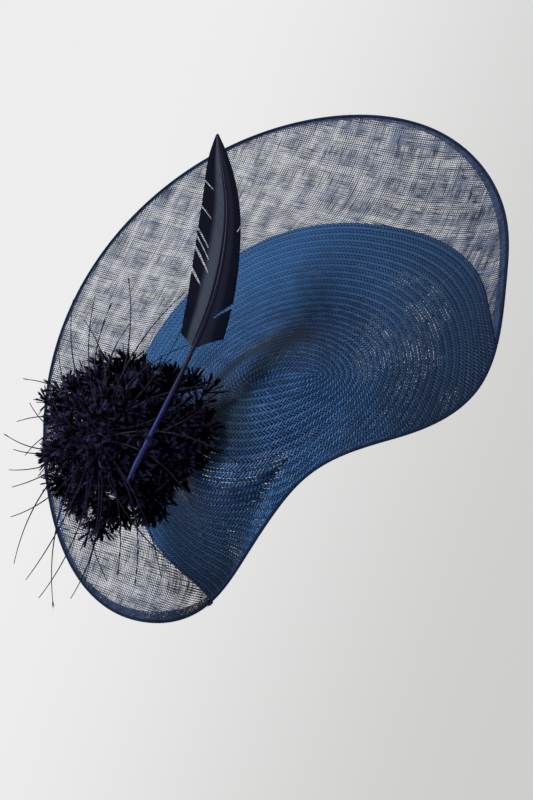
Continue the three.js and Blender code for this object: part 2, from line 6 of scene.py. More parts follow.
import bmesh
import bpy
import numpy as np
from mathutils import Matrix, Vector


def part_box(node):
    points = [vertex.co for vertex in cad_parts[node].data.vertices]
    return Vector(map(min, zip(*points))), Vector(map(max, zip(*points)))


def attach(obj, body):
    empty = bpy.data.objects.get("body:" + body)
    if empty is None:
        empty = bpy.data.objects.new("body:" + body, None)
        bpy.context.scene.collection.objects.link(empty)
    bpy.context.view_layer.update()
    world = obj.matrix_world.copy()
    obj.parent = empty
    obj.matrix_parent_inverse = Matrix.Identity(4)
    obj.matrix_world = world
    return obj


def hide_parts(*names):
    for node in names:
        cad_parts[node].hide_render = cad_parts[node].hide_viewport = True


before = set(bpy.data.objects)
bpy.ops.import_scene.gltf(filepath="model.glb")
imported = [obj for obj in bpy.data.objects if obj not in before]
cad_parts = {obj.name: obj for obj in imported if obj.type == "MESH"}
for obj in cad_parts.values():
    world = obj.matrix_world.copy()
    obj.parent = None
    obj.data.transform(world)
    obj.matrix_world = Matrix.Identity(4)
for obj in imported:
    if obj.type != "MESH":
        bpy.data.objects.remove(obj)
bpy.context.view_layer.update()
mm = 0.001
random = np.random.default_rng(26)

# Camera, backdrop and floor; each lamp has its place, power, size
view = {
    "place": (11.08, -2003.5, -11.18),
    "lens": 94.74,
    "backdropLeft": (0.85, 0.85, 0.85), "backdropRight": (0.62, 0.615, 0.61), "gloss": 0.3,
    "ambient": (0.80, 0.88, 1.0), "ambientStrength": 0.20,
    "lamps": {"keyLamp": ((-1.8, -1.1, 1.7), 78, 1.0), "fillLamp": ((1.3, -1.9, 0.1), 10, 1.4),
              "backLamp": ((0.4, 1.7, 1.3), 22, 1.2)},
    "floorDrop": 760,
    "floorRadius": 1150,
}


def unit(vectors):
    return vectors / np.maximum(np.linalg.norm(vectors, axis=-1, keepdims=True), 1e-12)


def addToScene(thing):
    bpy.context.scene.collection.objects.link(thing)
    return thing


def makeCamera():
    data = bpy.data.cameras.new("mainCamera")
    data.lens = view["lens"]
    data.clip_end = 50
    camera = addToScene(bpy.data.objects.new("camera", data))
    camera.location = [x * mm for x in view["place"]]
    camera.rotation_euler = (math.pi / 2, 0, 0)
    bpy.context.scene.camera = camera


def softLamp(name, spot, power, size):
    data = bpy.data.lights.new(name, "AREA")
    data.energy = power
    data.size = size
    lamp = addToScene(bpy.data.objects.new(name, data))
    lamp.location = spot
    lamp.rotation_euler = Vector(spot).to_track_quat("Z", "Y").to_euler()


# A number, colour or place worked out by nodes, so that node maths reads as plain sums
class Worked:
    def __init__(self, socket):
        self.socket = socket
        self.tree = socket.id_data

    def __add__(self, other):
        return calc("ADD", self, other)

    def __radd__(self, other):
        return calc("ADD", other, self)

    def __sub__(self, other):
        return calc("SUBTRACT", self, other)

    def __rsub__(self, other):
        return calc("SUBTRACT", other, self)

    def __mul__(self, other):
        return calc("MULTIPLY", self, other)

    def __rmul__(self, other):
        return calc("MULTIPLY", other, self)

    def __truediv__(self, other):
        return calc("DIVIDE", self, other)

    def __pow__(self, other):
        return calc("POWER", self, other)

    def __abs__(self):
        return calc("ABSOLUTE", self)


# A node with its inputs linked or set, given as the value of one output
def addNode(tree, kind, inputs=None, output=0, **settings):
    node = tree.nodes.new(kind)
    for key, value in settings.items():
        setattr(node, key, value)
    for key, value in (inputs or {}).items():
        if isinstance(value, Worked):
            tree.links.new(value.socket, node.inputs[key])
        else:
            node.inputs[key].default_value = value
    return Worked(node.outputs[output]) if node.outputs else None


def calc(operation, *values):
    tree = next(value.tree for value in values if isinstance(value, Worked))
    return addNode(tree, "ShaderNodeMath", dict(enumerate(values)), operation=operation)


floor, fract, sine, cosine, larger, isAbove, isBelow = (
    partial(calc, kind)
    for kind in ("FLOOR", "FRACT", "SINE", "COSINE", "MAXIMUM", "GREATER_THAN", "LESS_THAN"))


def ramp(value, low, high):
    inputs = {"Value": value, "From Min": low, "From Max": high}
    return addNode(value.tree, "ShaderNodeMapRange", inputs, interpolation_type="SMOOTHSTEP")


def mixColours(share, first, second):
    ends = [end if isinstance(end, Worked) else (*end, 1) for end in (first, second)]
    inputs = {0: share, 6: ends[0], 7: ends[1]}
    return addNode(share.tree, "ShaderNodeMix", inputs, output=2, data_type="RGBA")


def noise(place, scale, detail=2, kind="Fac"):
    inputs = {"Vector": place, "Scale": scale, "Detail": detail}
    return addNode(place.tree, "ShaderNodeTexNoise", inputs, output=kind)


def vectorSum(kind, first, inputs):
    return addNode(first.tree, "ShaderNodeVectorMath", {0: first, **inputs}, operation=kind)


def objectPlace(finish):
    return addNode(finish.node_tree, "ShaderNodeTexCoord", output="Object")


def uvPlace(finish, name):
    return addNode(finish.node_tree, "ShaderNodeUVMap", uv_map=name)


def splitPlace(place):
    x = addNode(place.tree, "ShaderNodeSeparateXYZ", {0: place})
    return [Worked(socket) for socket in x.socket.node.outputs]


def joinPlace(x, y, z=0.0):
    return addNode(x.tree, "ShaderNodeCombineXYZ", {0: x, 1: y, 2: z})


def randomOf(value):
    return addNode(value.tree, "ShaderNodeTexWhiteNoise", {"W": value}, noise_dimensions="1D")


# The world lights softly from all round, and rays that see it straight or through cloth find the pale
# backdrop, with a painted falloff of light on it: a little darker from left to right
def makeWorld():
    world = bpy.data.worlds.new("studio")
    world.use_nodes = True
    tree = world.node_tree
    tree.nodes.clear()
    rays = tree.nodes.new("ShaderNodeLightPath").outputs
    kinds = ("Camera", "Transmission", "Glossy")
    straight, through, glossy = (Worked(rays[f"Is {kind} Ray"]) for kind in kinds)
    seen = larger(larger(straight, through), glossy * view["gloss"])
    x, _, z = splitPlace(addNode(tree, "ShaderNodeTexCoord", output="Generated"))
    pale = mixColours(ramp(x - z * 0.35, -0.10, 0.17), view["backdropLeft"], view["backdropRight"])
    ambient = {"Color": (*view["ambient"], 1), "Strength": view["ambientStrength"]}
    ambient = addNode(tree, "ShaderNodeBackground", ambient)
    backdrop = addNode(tree, "ShaderNodeBackground", {"Color": pale, "Strength": 1.0})
    mix = addNode(tree, "ShaderNodeMixShader", {0: seen, 1: ambient, 2: backdrop})
    addNode(tree, "ShaderNodeOutputWorld", {"Surface": mix})
    bpy.context.scene.world = world


# A material with its Principled shader; uniform values go straight on the shader's sockets
def newFinish(name, roughness=0.5, **uniform):
    finish = bpy.data.materials.new(name)
    finish.use_nodes = True
    inputs = finish.node_tree.nodes["Principled BSDF"].inputs
    inputs["Roughness"].default_value = roughness
    sockets = {"metallic": "Metallic", "specular": "Specular IOR Level", "sheen": "Sheen Weight",
               "sheenRoughness": "Sheen Roughness", "coat": "Coat Weight", "coatRoughness": "Coat Roughness"}
    for key, value in uniform.items():
        inputs[sockets[key]].default_value = value
    return finish


# Links what is worked out to the shader; a height becomes bump, its depth in millimetres
def drive(finish, colour, height, depth, strength, roughness=None, alpha=None):
    tree = finish.node_tree
    bump = addNode(tree, "ShaderNodeBump", {"Height": height, "Distance": depth * mm, "Strength": strength})
    links = {"Base Color": colour, "Roughness": roughness, "Alpha": alpha, "Normal": bump}
    for key, value in links.items():
        if value is not None:
            tree.links.new(value.socket, tree.nodes["Principled BSDF"].inputs[key])
    return finish


# Two tones blend where a broad noise lies between two levels; a fine noise roughens the gloss and the face
def mottledFinish(name, tones, broad, levels, fine, roughness, relief, **uniform):
    finish = newFinish(name, **uniform)
    place = objectPlace(finish)
    tone = noise(place, *broad)
    grain = tone if fine == broad else noise(place, *fine)
    colour = mixColours(ramp(tone, *levels) if levels else tone, *tones)
    return drive(finish, colour, grain, *relief, roughness=roughness[0] + grain * roughness[1])


# Two tones blend by wear, and the raised threads of a pattern take a third
def wovenFinish(name, tones, wear, pattern, levels, relief, **uniform):
    finish = newFinish(name, **uniform)
    along, across, _ = splitPlace(uvPlace(finish, "tape"))
    raised = pattern(along, across)
    colour = mixColours(noise(objectPlace(finish), *wear), *tones[:2])
    return drive(finish, mixColours(ramp(raised, *levels), colour, tones[2]), raised, *relief)


def rib(way, pitch):
    return sine(way * (2 * math.pi / pitch))


def plainWeave(along, across):
    return rib(along, 1.1) * rib(across, 1.1)


def crossRibs(along, across):
    return rib(along, 1.0)


# Faces between neighbouring rows and columns of a grid of points, turned so that they face up when rows run
# anticlockwise and columns run outwards
def gridFaces(rows, columns, closed=False, start=0, flip=False):
    i, j = np.meshgrid(np.arange(rows if closed else rows - 1), np.arange(columns - 1), indexing="ij")
    n = (i + 1) % rows
    corners = [i * columns + j, i * columns + j + 1, n * columns + j + 1, n * columns + j]
    faces = np.stack(corners, -1).reshape(-1, 4) + start
    return faces[:, ::-1] if flip else faces


# A mesh from points and faces; merge joins points that meet and drops faces that have closed up
def buildMesh(name, points, faces, finish, uvs=None, merge=False):
    mesh = bpy.data.meshes.new(name)
    listed = faces.tolist() if isinstance(faces, np.ndarray) else faces
    mesh.from_pydata(np.asarray(points, float).reshape(-1, 3).tolist(), [], listed)
    for key, values in (uvs or {}).items():
        layer = mesh.uv_layers.new(name=key)
        layer.data.foreach_set("uv", np.ascontiguousarray(values, np.float32).ravel())
    if merge:
        work = bmesh.new()
        work.from_mesh(mesh)
        bmesh.ops.remove_doubles(work, verts=work.verts, dist=2e-6)
        bmesh.ops.dissolve_degenerate(work, edges=work.edges, dist=1e-7)
        loose = [v for v in work.verts if not v.link_faces]
        bmesh.ops.delete(work, geom=loose, context="VERTS")
        work.to_mesh(mesh)
        work.free()
    mesh.polygons.foreach_set("use_smooth", [True] * len(mesh.polygons))
    mesh.update()
    mesh.materials.append(finish)
    return addToScene(bpy.data.objects.new(name, mesh))


# A piece rides on its body and takes the place of a node of the frame, if it has one
def settle(piece, body, nodes=()):
    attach(piece, body)
    if nodes:
        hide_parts(*nodes)
    return piece


# Length along a path from its start to each point
def runAlong(path):
    return np.concatenate([[0], np.cumsum(np.linalg.norm(np.diff(path, axis=0), axis=1))])


# Area of a grid of points, from the cross products of neighbouring steps, in square metres
def gridArea(point):
    steps = np.cross(np.diff(point, axis=1)[:-1], np.diff(point, axis=0)[:, :-1])
    return np.linalg.norm(steps, axis=-1).sum() * mm**2


# Even angles once round, without the last
def roundTurns(count):
    return np.linspace(0, 2 * np.pi, count, endpoint=False)


# UVs for each face corner from a grid of (u, v) values
def cornerValues(faces, grid):
    return grid.reshape(-1, 2)[faces.ravel()]


# A section of (out, up) pairs carried along a path: path point + out * side + up * rise, for every pair;
# scale shrinks or swells the section along the way
def sweep(path, out, up, section, scale=None, closed=False):
    section = np.asarray(section, float)
    scale = np.ones(len(path)) if scale is None else np.asarray(scale, float)
    offset = section[None, :, 0, None] * out[:, None] + section[None, :, 1, None] * up[:, None]
    rings = path[:, None] + offset * scale[:, None, None]
    rows, sides = rings.shape[:2]
    i, j = np.meshgrid(np.arange(rows if closed else rows - 1), np.arange(sides), indexing="ij")
    n, k = (i + 1) % rows, (j + 1) % sides
    faces = np.stack([i * sides + j, i * sides + k, n * sides + k, n * sides + j], -1).reshape(-1, 4)
    along = path[1] - path[0]
    handed = np.dot(np.cross(out[0], up[0]), along) * signedArea(section)
    if handed < 0:
        faces = faces[:, ::-1]
    listed = [list(f) for f in faces.tolist()]
    if not closed:
        first, last = list(range(sides)), list(range((rows - 1) * sides, rows * sides))
        listed += [first[::-1], last] if handed > 0 else [first, last[::-1]]
    return rings.reshape(-1, 3), listed


def signedArea(section):
    x, y = section[:, 0], section[:, 1]
    return float(np.sum(x * np.roll(y, -1) - np.roll(x, -1) * y)) / 2


def ringSection(radius, sides):
    turn = roundTurns(sides)
    return np.stack([radius * np.cos(turn), radius * np.sin(turn)], -1)


# Smooth curve through a few points: Catmull-Rom pieces, each a cubic in its own share
def curveThrough(points, steps):
    p = np.asarray(points, float)
    p = np.vstack([2 * p[0] - p[1], p, 2 * p[-1] - p[-2]])
    share = np.linspace(0, len(p) - 3 - 1e-9, steps)
    k = share.astype(int)
    t = (share - k)[:, None]
    a, b, c, d = p[k], p[k + 1], p[k + 2], p[k + 3]
    return 0.5 * (2 * b + (c - a) * t + (2 * a - 5 * b + 4 * c - d) * t**2 + (3 * b - a - 3 * c + d) * t**3)


# Frames carried along a path: each side direction is the last one with its share along the path taken away
def carriedFrames(path, side):
    along = unit(np.gradient(path, axis=0))
    out = np.empty_like(path)
    current = np.asarray(side, float)
    for i, way in enumerate(along):
        current = current - np.dot(current, way) * way
        current = current / np.linalg.norm(current)
        out[i] = current
    return along, out, np.cross(along, out)


# Several (points, faces) parts as one
def tubeParts(parts):
    points, faces, start = [], [], 0
    for some, these in parts:
        points.append(np.asarray(some).reshape(-1, 3))
        faces += [[k + start for k in f] for f in these]
        start += len(points[-1])
    return np.vstack(points), faces


# The block that the hat is shaped on, and how it sits on the head
block = {
    "lean": 49, "roll": -30, "turn": 26,
    "crownHeight": 19, "crownLength": 92, "crownWidth": 70, "crownTurn": 34,
    "shoulderReach": 0.55, "shoulderFall": 0.35, "creaseAlong": -13, "creaseAcross": -4,
    "seatHeight": 13.6,
    "seamArc": 245, "rowPitch": 8.75, "rows": 28,
    "tableReach": 520, "tableStep": 2,
    "knots": (-0.22, -0.11, 0, 0.11, 0.22, 0.48, 0.74, 1),
    # angle round the hat, reach of the rim, heights at one third, two thirds and all of the brim's width
    "sections": (
        (0, 287, -29, -32, -12), (30, 342, -31, -35, -11), (60, 376, -21, -24, -4), (90, 398, -23, -33, -20),
        (120, 368, -39, -61, -61), (150, 321, -61, -111, -134), (180, 236, -60, -122, -134),
        (205, 181, -42, -89, -94), (225, 146, -23, -45, -49), (245, 127, -6, -14, -17), (270, 125, 0, 0, 2),
        (295, 154, -7, -10, -9), (320, 216, -20, -29, -32), (340, 254, -25, -32, -6),
    ),
}


def turnMatrix():
    x, y, z = (math.radians(block[key]) for key in ("lean", "roll", "turn"))
    aboutX = np.array([[1, 0, 0], [0, math.cos(x), -math.sin(x)], [0, math.sin(x), math.cos(x)]])
    aboutY = np.array([[math.cos(y), 0, math.sin(y)], [0, 1, 0], [-math.sin(y), 0, math.cos(y)]])
    aboutZ = np.array([[math.cos(z), -math.sin(z), 0], [math.sin(z), math.cos(z), 0], [0, 0, 1]])
    return aboutX @ aboutY @ aboutZ


hatTurn = turnMatrix()


# A natural cubic spline is linear in its knot values: these are the weights on them at each x. Bends at the
# knots solve the tridiagonal system of second differences, with none at the two ends.
def splineWeights(knots, x):
    k = np.asarray(knots, float)
    count = len(k)
    span = np.diff(k)
    system, change = np.eye(count), np.zeros((count, count))
    i = np.arange(1, count - 1)
    system[i, i - 1], system[i, i], system[i, i + 1] = span[:-1], 2 * (span[:-1] + span[1:]), span[1:]
    change[i, i - 1], change[i, i + 1] = 6 / span[:-1], 6 / span[1:]
    change[i, i] = -6 / span[:-1] - 6 / span[1:]
    bends = np.linalg.solve(system, change)
    x = np.asarray(x, float)
    s = np.clip(np.searchsorted(k, x) - 1, 0, count - 2)
    b = ((x - k[s]) / span[s])[..., None]
    a = 1 - b
    square = (span[s] ** 2 / 6)[..., None]
    eye = np.eye(count)
    return a * eye[s] + b * eye[s + 1] + square * ((a**3 - a) * bends[s] + (b**3 - b) * bends[s + 1])


def aroundValues(at):
    table = np.array(block["sections"], float)
    angles = np.concatenate([table[:, 0] - 360, table[:, 0], table[:, 0] + 360])
    return splineWeights(angles, np.mod(at, 360)) @ np.tile(table[:, 1:], (3, 1))


# Point of the block at an angle round it and a share of the way out: reach and height are cubic splines of
# the share, through the crown's oval, the crease round it and three heights out to the rim
def blockPoint(at, share):
    at, share = np.broadcast_arrays(np.asarray(at, float), np.asarray(share, float))
    angle = np.radians(at)
    oval = np.radians(at - block["crownTurn"])
    crown = 1 / np.hypot(np.cos(oval) / block["crownLength"], np.sin(oval) / block["crownWidth"])
    crease = block["creaseAlong"] * np.cos(angle) + block["creaseAcross"] * np.sin(angle)
    reach, inner, middle, rim = np.moveaxis(aroundValues(at), -1, 0)
    third = (reach - crown) / 3
    top = block["crownHeight"]
    shoulder = top + (crease - top) * block["shoulderFall"]
    shoulderReach = crown * block["shoulderReach"]
    reaches = np.stack([-crown, -shoulderReach, 0 * crown, shoulderReach, crown, crown + third,
                        crown + 2 * third, crown + 3 * third], -1)
    heights = np.stack([crease, shoulder, top + 0 * crown, shoulder, crease, inner, middle, rim], -1)
    weights = splineWeights(block["knots"], share)
    r = (weights * reaches).sum(-1)
    z = (weights * heights).sum(-1)
    return np.stack([r * np.cos(angle), r * np.sin(angle), z], -1)


# Point, outward direction and upward normal, from small steps out and round
def blockFace(at, share):
    at, share = np.broadcast_arrays(np.asarray(at, float), np.asarray(share, float))
    point = blockPoint(at, share)
    out = unit(point - blockPoint(at, share - 0.01))
    wide = np.maximum(share, 0.01)
    side = unit(blockPoint(at + 1, wide) - blockPoint(at - 1, wide))
    normal = unit(np.cross(out, side))
    normal = np.where((share < 0.01)[..., None], np.array([0, 0, 1.0]), normal)
    return point, out, normal


def arcTable(at):
    shares = np.linspace(0, 1, 61)
    line = blockPoint(at[:, None], shares[None])
    steps = np.linalg.norm(np.diff(line, axis=1), axis=-1)
    return shares, np.concatenate([np.zeros((len(at), 1)), np.cumsum(steps, 1)], 1)


def shareAtArc(at, arc):
    shares, arcs = arcTable(at)
    return np.array([np.interp(wanted, known, shares) for wanted, known in zip(arc, arcs)])


# Share at any angle and arc, from a table of even angles and even arcs, weighed between its four neighbours
def shareTable():
    at = np.arange(0, 360.5, 1.0)
    arcs = np.arange(0, block["tableReach"] + 1, block["tableStep"], float)
    shares, known = arcTable(at)
    return np.array([np.interp(arcs, row, shares) for row in known])


def shareOf(at, arc):
    x = np.mod(at, 360)
    y = np.clip(arc / block["tableStep"], 0, table.shape[1] - 1.001)
    i, j = x.astype(int), y.astype(int)
    a, b = x - i, y - j
    low = table[i, j] * (1 - b) + table[i, j + 1] * b
    high = table[i + 1, j] * (1 - b) + table[i + 1, j + 1] * b
    return low * (1 - a) + high * a


def rimArc(at):
    return arcTable(np.atleast_1d(np.asarray(at, float)))[1][:, -1]


def worn(points):
    return (points - np.array([0, 0, block["seatHeight"]])) @ hatTurn.T * mm


def wornWay(vectors):
    return vectors @ hatTurn.T


# The brim runs between the two angles where the rim meets the straw's edge
def brimEnds():
    at = np.arange(180, 540, 0.25)
    wide = rimArc(at) > block["seamArc"]
    narrow = at[~wide]
    return float(narrow.max()) - 360, float(narrow.min())


table = shareTable()
brimStart, brimEnd = brimEnds()
print("block ready: brim from", round(brimStart, 1), "to", round(brimEnd, 1), "degrees")


# Straw dish: its grid, its weave and its dyes, with painted shade and painted light over them
straw = {
    "round": 480, "perRow": 6, "thickness": 1.3, "ridge": 0.14, "strandPitch": 4.0, "broad": 0.6,
    "middle": (27, -12), "slit": 32, "slitTurn": -22.5,
    "dark": (0.002, 0.006, 0.022), "mid": (0.011, 0.054, 0.158), "light": (0.058, 0.180, 0.425),
    # the crease and right-side colours are painted shade, and the lit band's two colours below are painted
    # light
    "gap": (0.001, 0.003, 0.010), "crease": (0.001, 0.004, 0.012), "paintedRightShade": (0.002, 0.006, 0.018),
    "crownLeftGrey": (0.008, 0.016, 0.028), "paintedLitBand": (0.050, 0.168, 0.410), "paintedLitGap": (0.002, 0.010, 0.03),
    "underMark": 10.0,
}


# Across each row: a broad strand and then a narrow one, each a half wave
def rowProfile(row):
    a, broad = np.mod(row, 1), straw["broad"]
    return np.where(a < broad, np.sin(np.pi * a / broad), broad * np.sin(np.pi * (a - broad) / (1 - broad)))


# The weave starts beside the block's middle. A grid place is (turn, arc); on the block's flat plan of angles
# and arcs it lies at arc along its turn, plus the start's offset times the square of the share that is left
# to the edge. The upper face is raised by the row profile. The weave map counts rows out and strands round,
# with a whole number of strands in each row; the shade map holds the block's own share and angle.
def strawDish(finish):
    count, perRow = straw["round"], straw["perRow"]
    turn = np.linspace(0, 360, count, endpoint=False)
    for corner in (brimStart % 360, brimEnd % 360):
        turn[np.abs(turn - corner).argmin()] = corner
    columns = block["rows"] * perRow + 1
    limit = np.minimum(rimArc(turn), block["seamArc"])[:, None]
    arcs = np.minimum(np.linspace(0, block["seamArc"], columns)[None], limit)
    left = (1 - arcs / limit) ** 2
    lengthwise = straw["slit"] * np.cos(np.radians(turn - straw["slitTurn"]))[:, None]
    slit = np.radians(straw["slitTurn"])
    x = arcs * np.cos(np.radians(turn))[:, None] + left * (straw["middle"][0] + lengthwise * np.cos(slit))
    y = arcs * np.sin(np.radians(turn))[:, None] + left * (straw["middle"][1] + lengthwise * np.sin(slit))
    at = np.mod(np.degrees(np.arctan2(y, x)), 360)
    share = shareOf(at, np.hypot(x, y))
    point, _, normal = blockFace(at, share)
    row = arcs / block["rowPitch"]
    edge = np.clip((limit - arcs) / 3, 0, 1)
    height = straw["ridge"] * (rowProfile(row) - 0.6) * edge * np.clip(arcs / 6, 0, 1)
    upper = worn(point + normal * height[..., None])
    lower = worn(point + normal * (height * 0.4 - straw["thickness"])[..., None])
    rings = np.linalg.norm(np.roll(point, -1, 0) - point, axis=-1)
    run = np.concatenate([np.zeros((1, columns)), np.cumsum(rings, 0)])
    total = np.maximum(run[-1], 1e-6)
    around = np.where(run[-1] > 1, run / total, np.linspace(0, 1, count + 1)[:, None])
    strands = np.maximum(np.round(total / straw["strandPitch"]), 6)
    rows = np.vstack([row, row[:1]])
    shares = np.vstack([share, share[:1]])
    angles = np.vstack([at, at[:1]]) / 360

    def part(step, start, flip):
        kept = np.arange(0, columns, step)
        i, j = np.meshgrid(np.arange(count), np.arange(len(kept) - 1), indexing="ij")
        n = (i + 1) % count
        wide = len(kept)
        near = arcs[:, kept]
        wanted = (near[i, j] < limit[i, 0] - 1e-6) | (near[n, j] < limit[n, 0] - 1e-6)
        quads = np.stack([i * wide + j, i * wide + j + 1, n * wide + j + 1, n * wide + j], -1)
        quads = quads[wanted] + start
        j0, j1, i1 = kept[j], kept[j + 1], i + 1
        number = strands[(j0 // perRow) * perRow + perRow // 2]
        corner = ((i, j0), (i, j1), (i1, j1), (i1, j0))
        row, strand, share, angle = (np.stack([some[c] for c in corner], -1)
                                     for some in (rows, around, shares, angles))
        weave = np.stack([row, strand * number[..., None]], -1)[wanted]
        shade = np.stack([share, angle], -1)[wanted]
        if flip:
            quads, weave, shade = quads[:, ::-1], weave[:, ::-1], shade[:, ::-1]
        return kept, quads, weave, shade

    _, quadsUp, weaveUp, shadeUp = part(1, 0, False)
    lowStart = count * columns
    keptLow, quadsLow, weaveLow, shadeLow = part(3, lowStart, True)
    lowWide = len(keptLow)
    i = np.arange(count)
    n = (i + 1) % count
    wall = np.stack([i * columns + columns - 1, lowStart + i * lowWide + lowWide - 1,
                     lowStart + n * lowWide + lowWide - 1, n * columns + columns - 1], -1)
    plain = np.zeros((count, 4, 2)) + 0.3
    points = np.vstack([upper.reshape(-1, 3), lower[:, keptLow].reshape(-1, 3)])
    faces = np.vstack([quadsUp, quadsLow, wall])
    maps = {"weave": np.vstack([weaveUp, weaveLow, plain]),
            "shade": np.vstack([shadeUp, shadeLow + (straw["underMark"], 0), plain])}
    piece = buildMesh("strawDish", points, faces, finish, maps, merge=True)
    settle(piece, "hat", ["straw_dish"])


def strawFinish():
    finish = newFinish("strawBraid", specular=0.12)
    u, v, _ = splitPlace(uvPlace(finish, "weave"))
    share, angle, _ = splitPlace(uvPlace(finish, "shade"))
    under = isAbove(share, straw["underMark"] / 2)
    share = share - under * straw["underMark"]
    place = objectPlace(finish)
    u = u + (noise(place, 55, 1) - 0.5) * 0.12
    row = floor(u)
    a = fract(u)
    broad = isBelow(a, straw["broad"])
    across = broad * (a / straw["broad"]) + (1.0 - broad) * ((a - straw["broad"]) / (1 - straw["broad"]))
    hump = sine(across * math.pi)
    # strands lean one way on the broad side of a row and the other way on the narrow side
    phase = v + across * (broad * 2.2 - 0.85) + randomOf(row) + noise(place, 140, 1) * 0.4
    number = floor(phase)
    strand = sine(fract(phase) * math.pi)
    level = larger(hump, 0.0) ** 0.7
    # where four strands meet the weave is open and dark
    besideRow = 1.0 - hump
    besideStrand = 1.0 - strand
    knot = ramp(besideRow, 0.04, 0.42) * ramp(besideStrand, 0.03, 0.40)
    gaps = larger(ramp(besideStrand, 0.35, 0.95) * 0.60, ramp(besideRow, 0.60, 1.0) * 0.40)
    gaps = larger(gaps, knot * 0.97)
    # tone from the strand's roundness, from one strand to the next, along its fibres and in broad clouds
    each = randomOf(number + row * 57.3)
    fibre = noise(place, 900)
    tone = (0.12 + level * 0.06 + strand * 0.62) * (0.74 + broad * 0.26)
    tone = tone + (each - 0.5) * 0.26 + (fibre - 0.5) * 0.34 + (noise(place, 14, 3) - 0.5) * 0.40
    low = mixColours(ramp(tone, 0.0, 0.55), straw["dark"], straw["mid"])
    colour = mixColours(ramp(tone, 0.45, 1.0), low, straw["light"])
    colour = mixColours(gaps, colour, straw["gap"])
    # painted shade: the straw is darkest in the crease behind the crown
    crease = ramp(share, 0.10, 0.165) * ramp(share, 0.27, 0.175)
    behind = (0.5 + 0.5 * cosine((angle - 0.28) * (2 * math.pi))) ** 1.4
    colour = mixColours(crease * behind * 0.80, colour, straw["crease"])
    # painted shade: darker towards the right side
    x, _, _ = splitPlace(place)
    colour = mixColours(ramp(x, 0.04, 0.17) * 0.76, colour, straw["paintedRightShade"])
    # darker and greyer on the left of the crown
    crownLeftGrey = ramp(share, 0.22, 0.12) * ramp(abs(angle - 0.5), 0.26, 0.08)
    colour = mixColours(crownLeftGrey * 0.72, colour, straw["crownLeftGrey"])
    # painted light: the band of rows behind the crown, its gaps too, is lighter
    paintedLitBand = ramp(share, 0.30, 0.50) * ramp(share, 1.0, 0.75) * behind
    colour = mixColours(paintedLitBand * 0.58, colour, mixColours(gaps, straw["paintedLitBand"], straw["paintedLitGap"]))
    # pinholes at those meetings, in patches between the crown and the outer rows
    patch = ramp(noise(place, 20), 0.30, 0.50) * (ramp(u, 5.0, 10.0) * ramp(u, 25.0, 22.5))
    size = patch * (0.14 + randomOf(number + row * 13.7) * 0.72) * (1.0 + under)
    solid = (1.0 - besideRow) * 1.6 + (1.0 - besideStrand)
    alpha = ramp(solid - size, -0.12, 0.12)
    height = level * 0.5 + strand - knot
    roughness = 0.36 + fibre * 0.22
    return drive(finish, colour, height, 0.7, 0.8, roughness=roughness, alpha=alpha)


sinamay = {
    "lap": 10, "round": 400, "across": 26, "depths": (1.75, 2.45), "turns": (-25, -29),
    "threadPitches": (2.15, 2.7), "wander": 0.004,
    "thread": (0.010, 0.018, 0.046), "pale": (0.085, 0.115, 0.19),
}


def brimGrid(steps, inner, outer):
    at = np.linspace(brimStart, brimEnd, steps)
    length = rimArc(at)
    seam = np.minimum(block["seamArc"], length)
    start = np.broadcast_to(inner(seam, length, at), at.shape)
    finish = np.broadcast_to(outer(seam, length, at), at.shape)
    return at, start, finish


# Cloth lies on the block at its own depth, between two lines round the brim. Its cloth map is the place on
# the block's plan, as the cut cloth was before it was stretched, and its edge map the way in from its rim.
def clothOnBrim(name, columns, inner, outer, depth, finish, nodes=()):
    at, start, end = brimGrid(sinamay["round"], inner, outer)
    arcs = start[:, None] + (end - start)[:, None] * np.linspace(0, 1, columns)
    share = shareAtArc(at, arcs)
    point, _, normal = blockFace(at[:, None] * np.ones_like(share), share)
    faces = gridFaces(len(at), columns)
    edge = np.stack([(end[:, None] - arcs) * mm, at[:, None] * np.ones_like(arcs) / 360], -1)
    uvs = {"cloth": cornerValues(faces, point[..., :2] * mm), "edge": cornerValues(faces, edge)}
    piece = buildMesh(name, worn(point - normal * depth), faces, finish, uvs)
    return settle(piece, "hat", nodes), gridArea(point)


# A ply reaches from inside the seam out to the rim
def sinamayPly(name, finish, depth, node):
    return clothOnBrim(name, sinamay["across"], lambda seam, length, at: seam - sinamay["lap"],
                       lambda seam, length, at: length, depth, finish, [node])


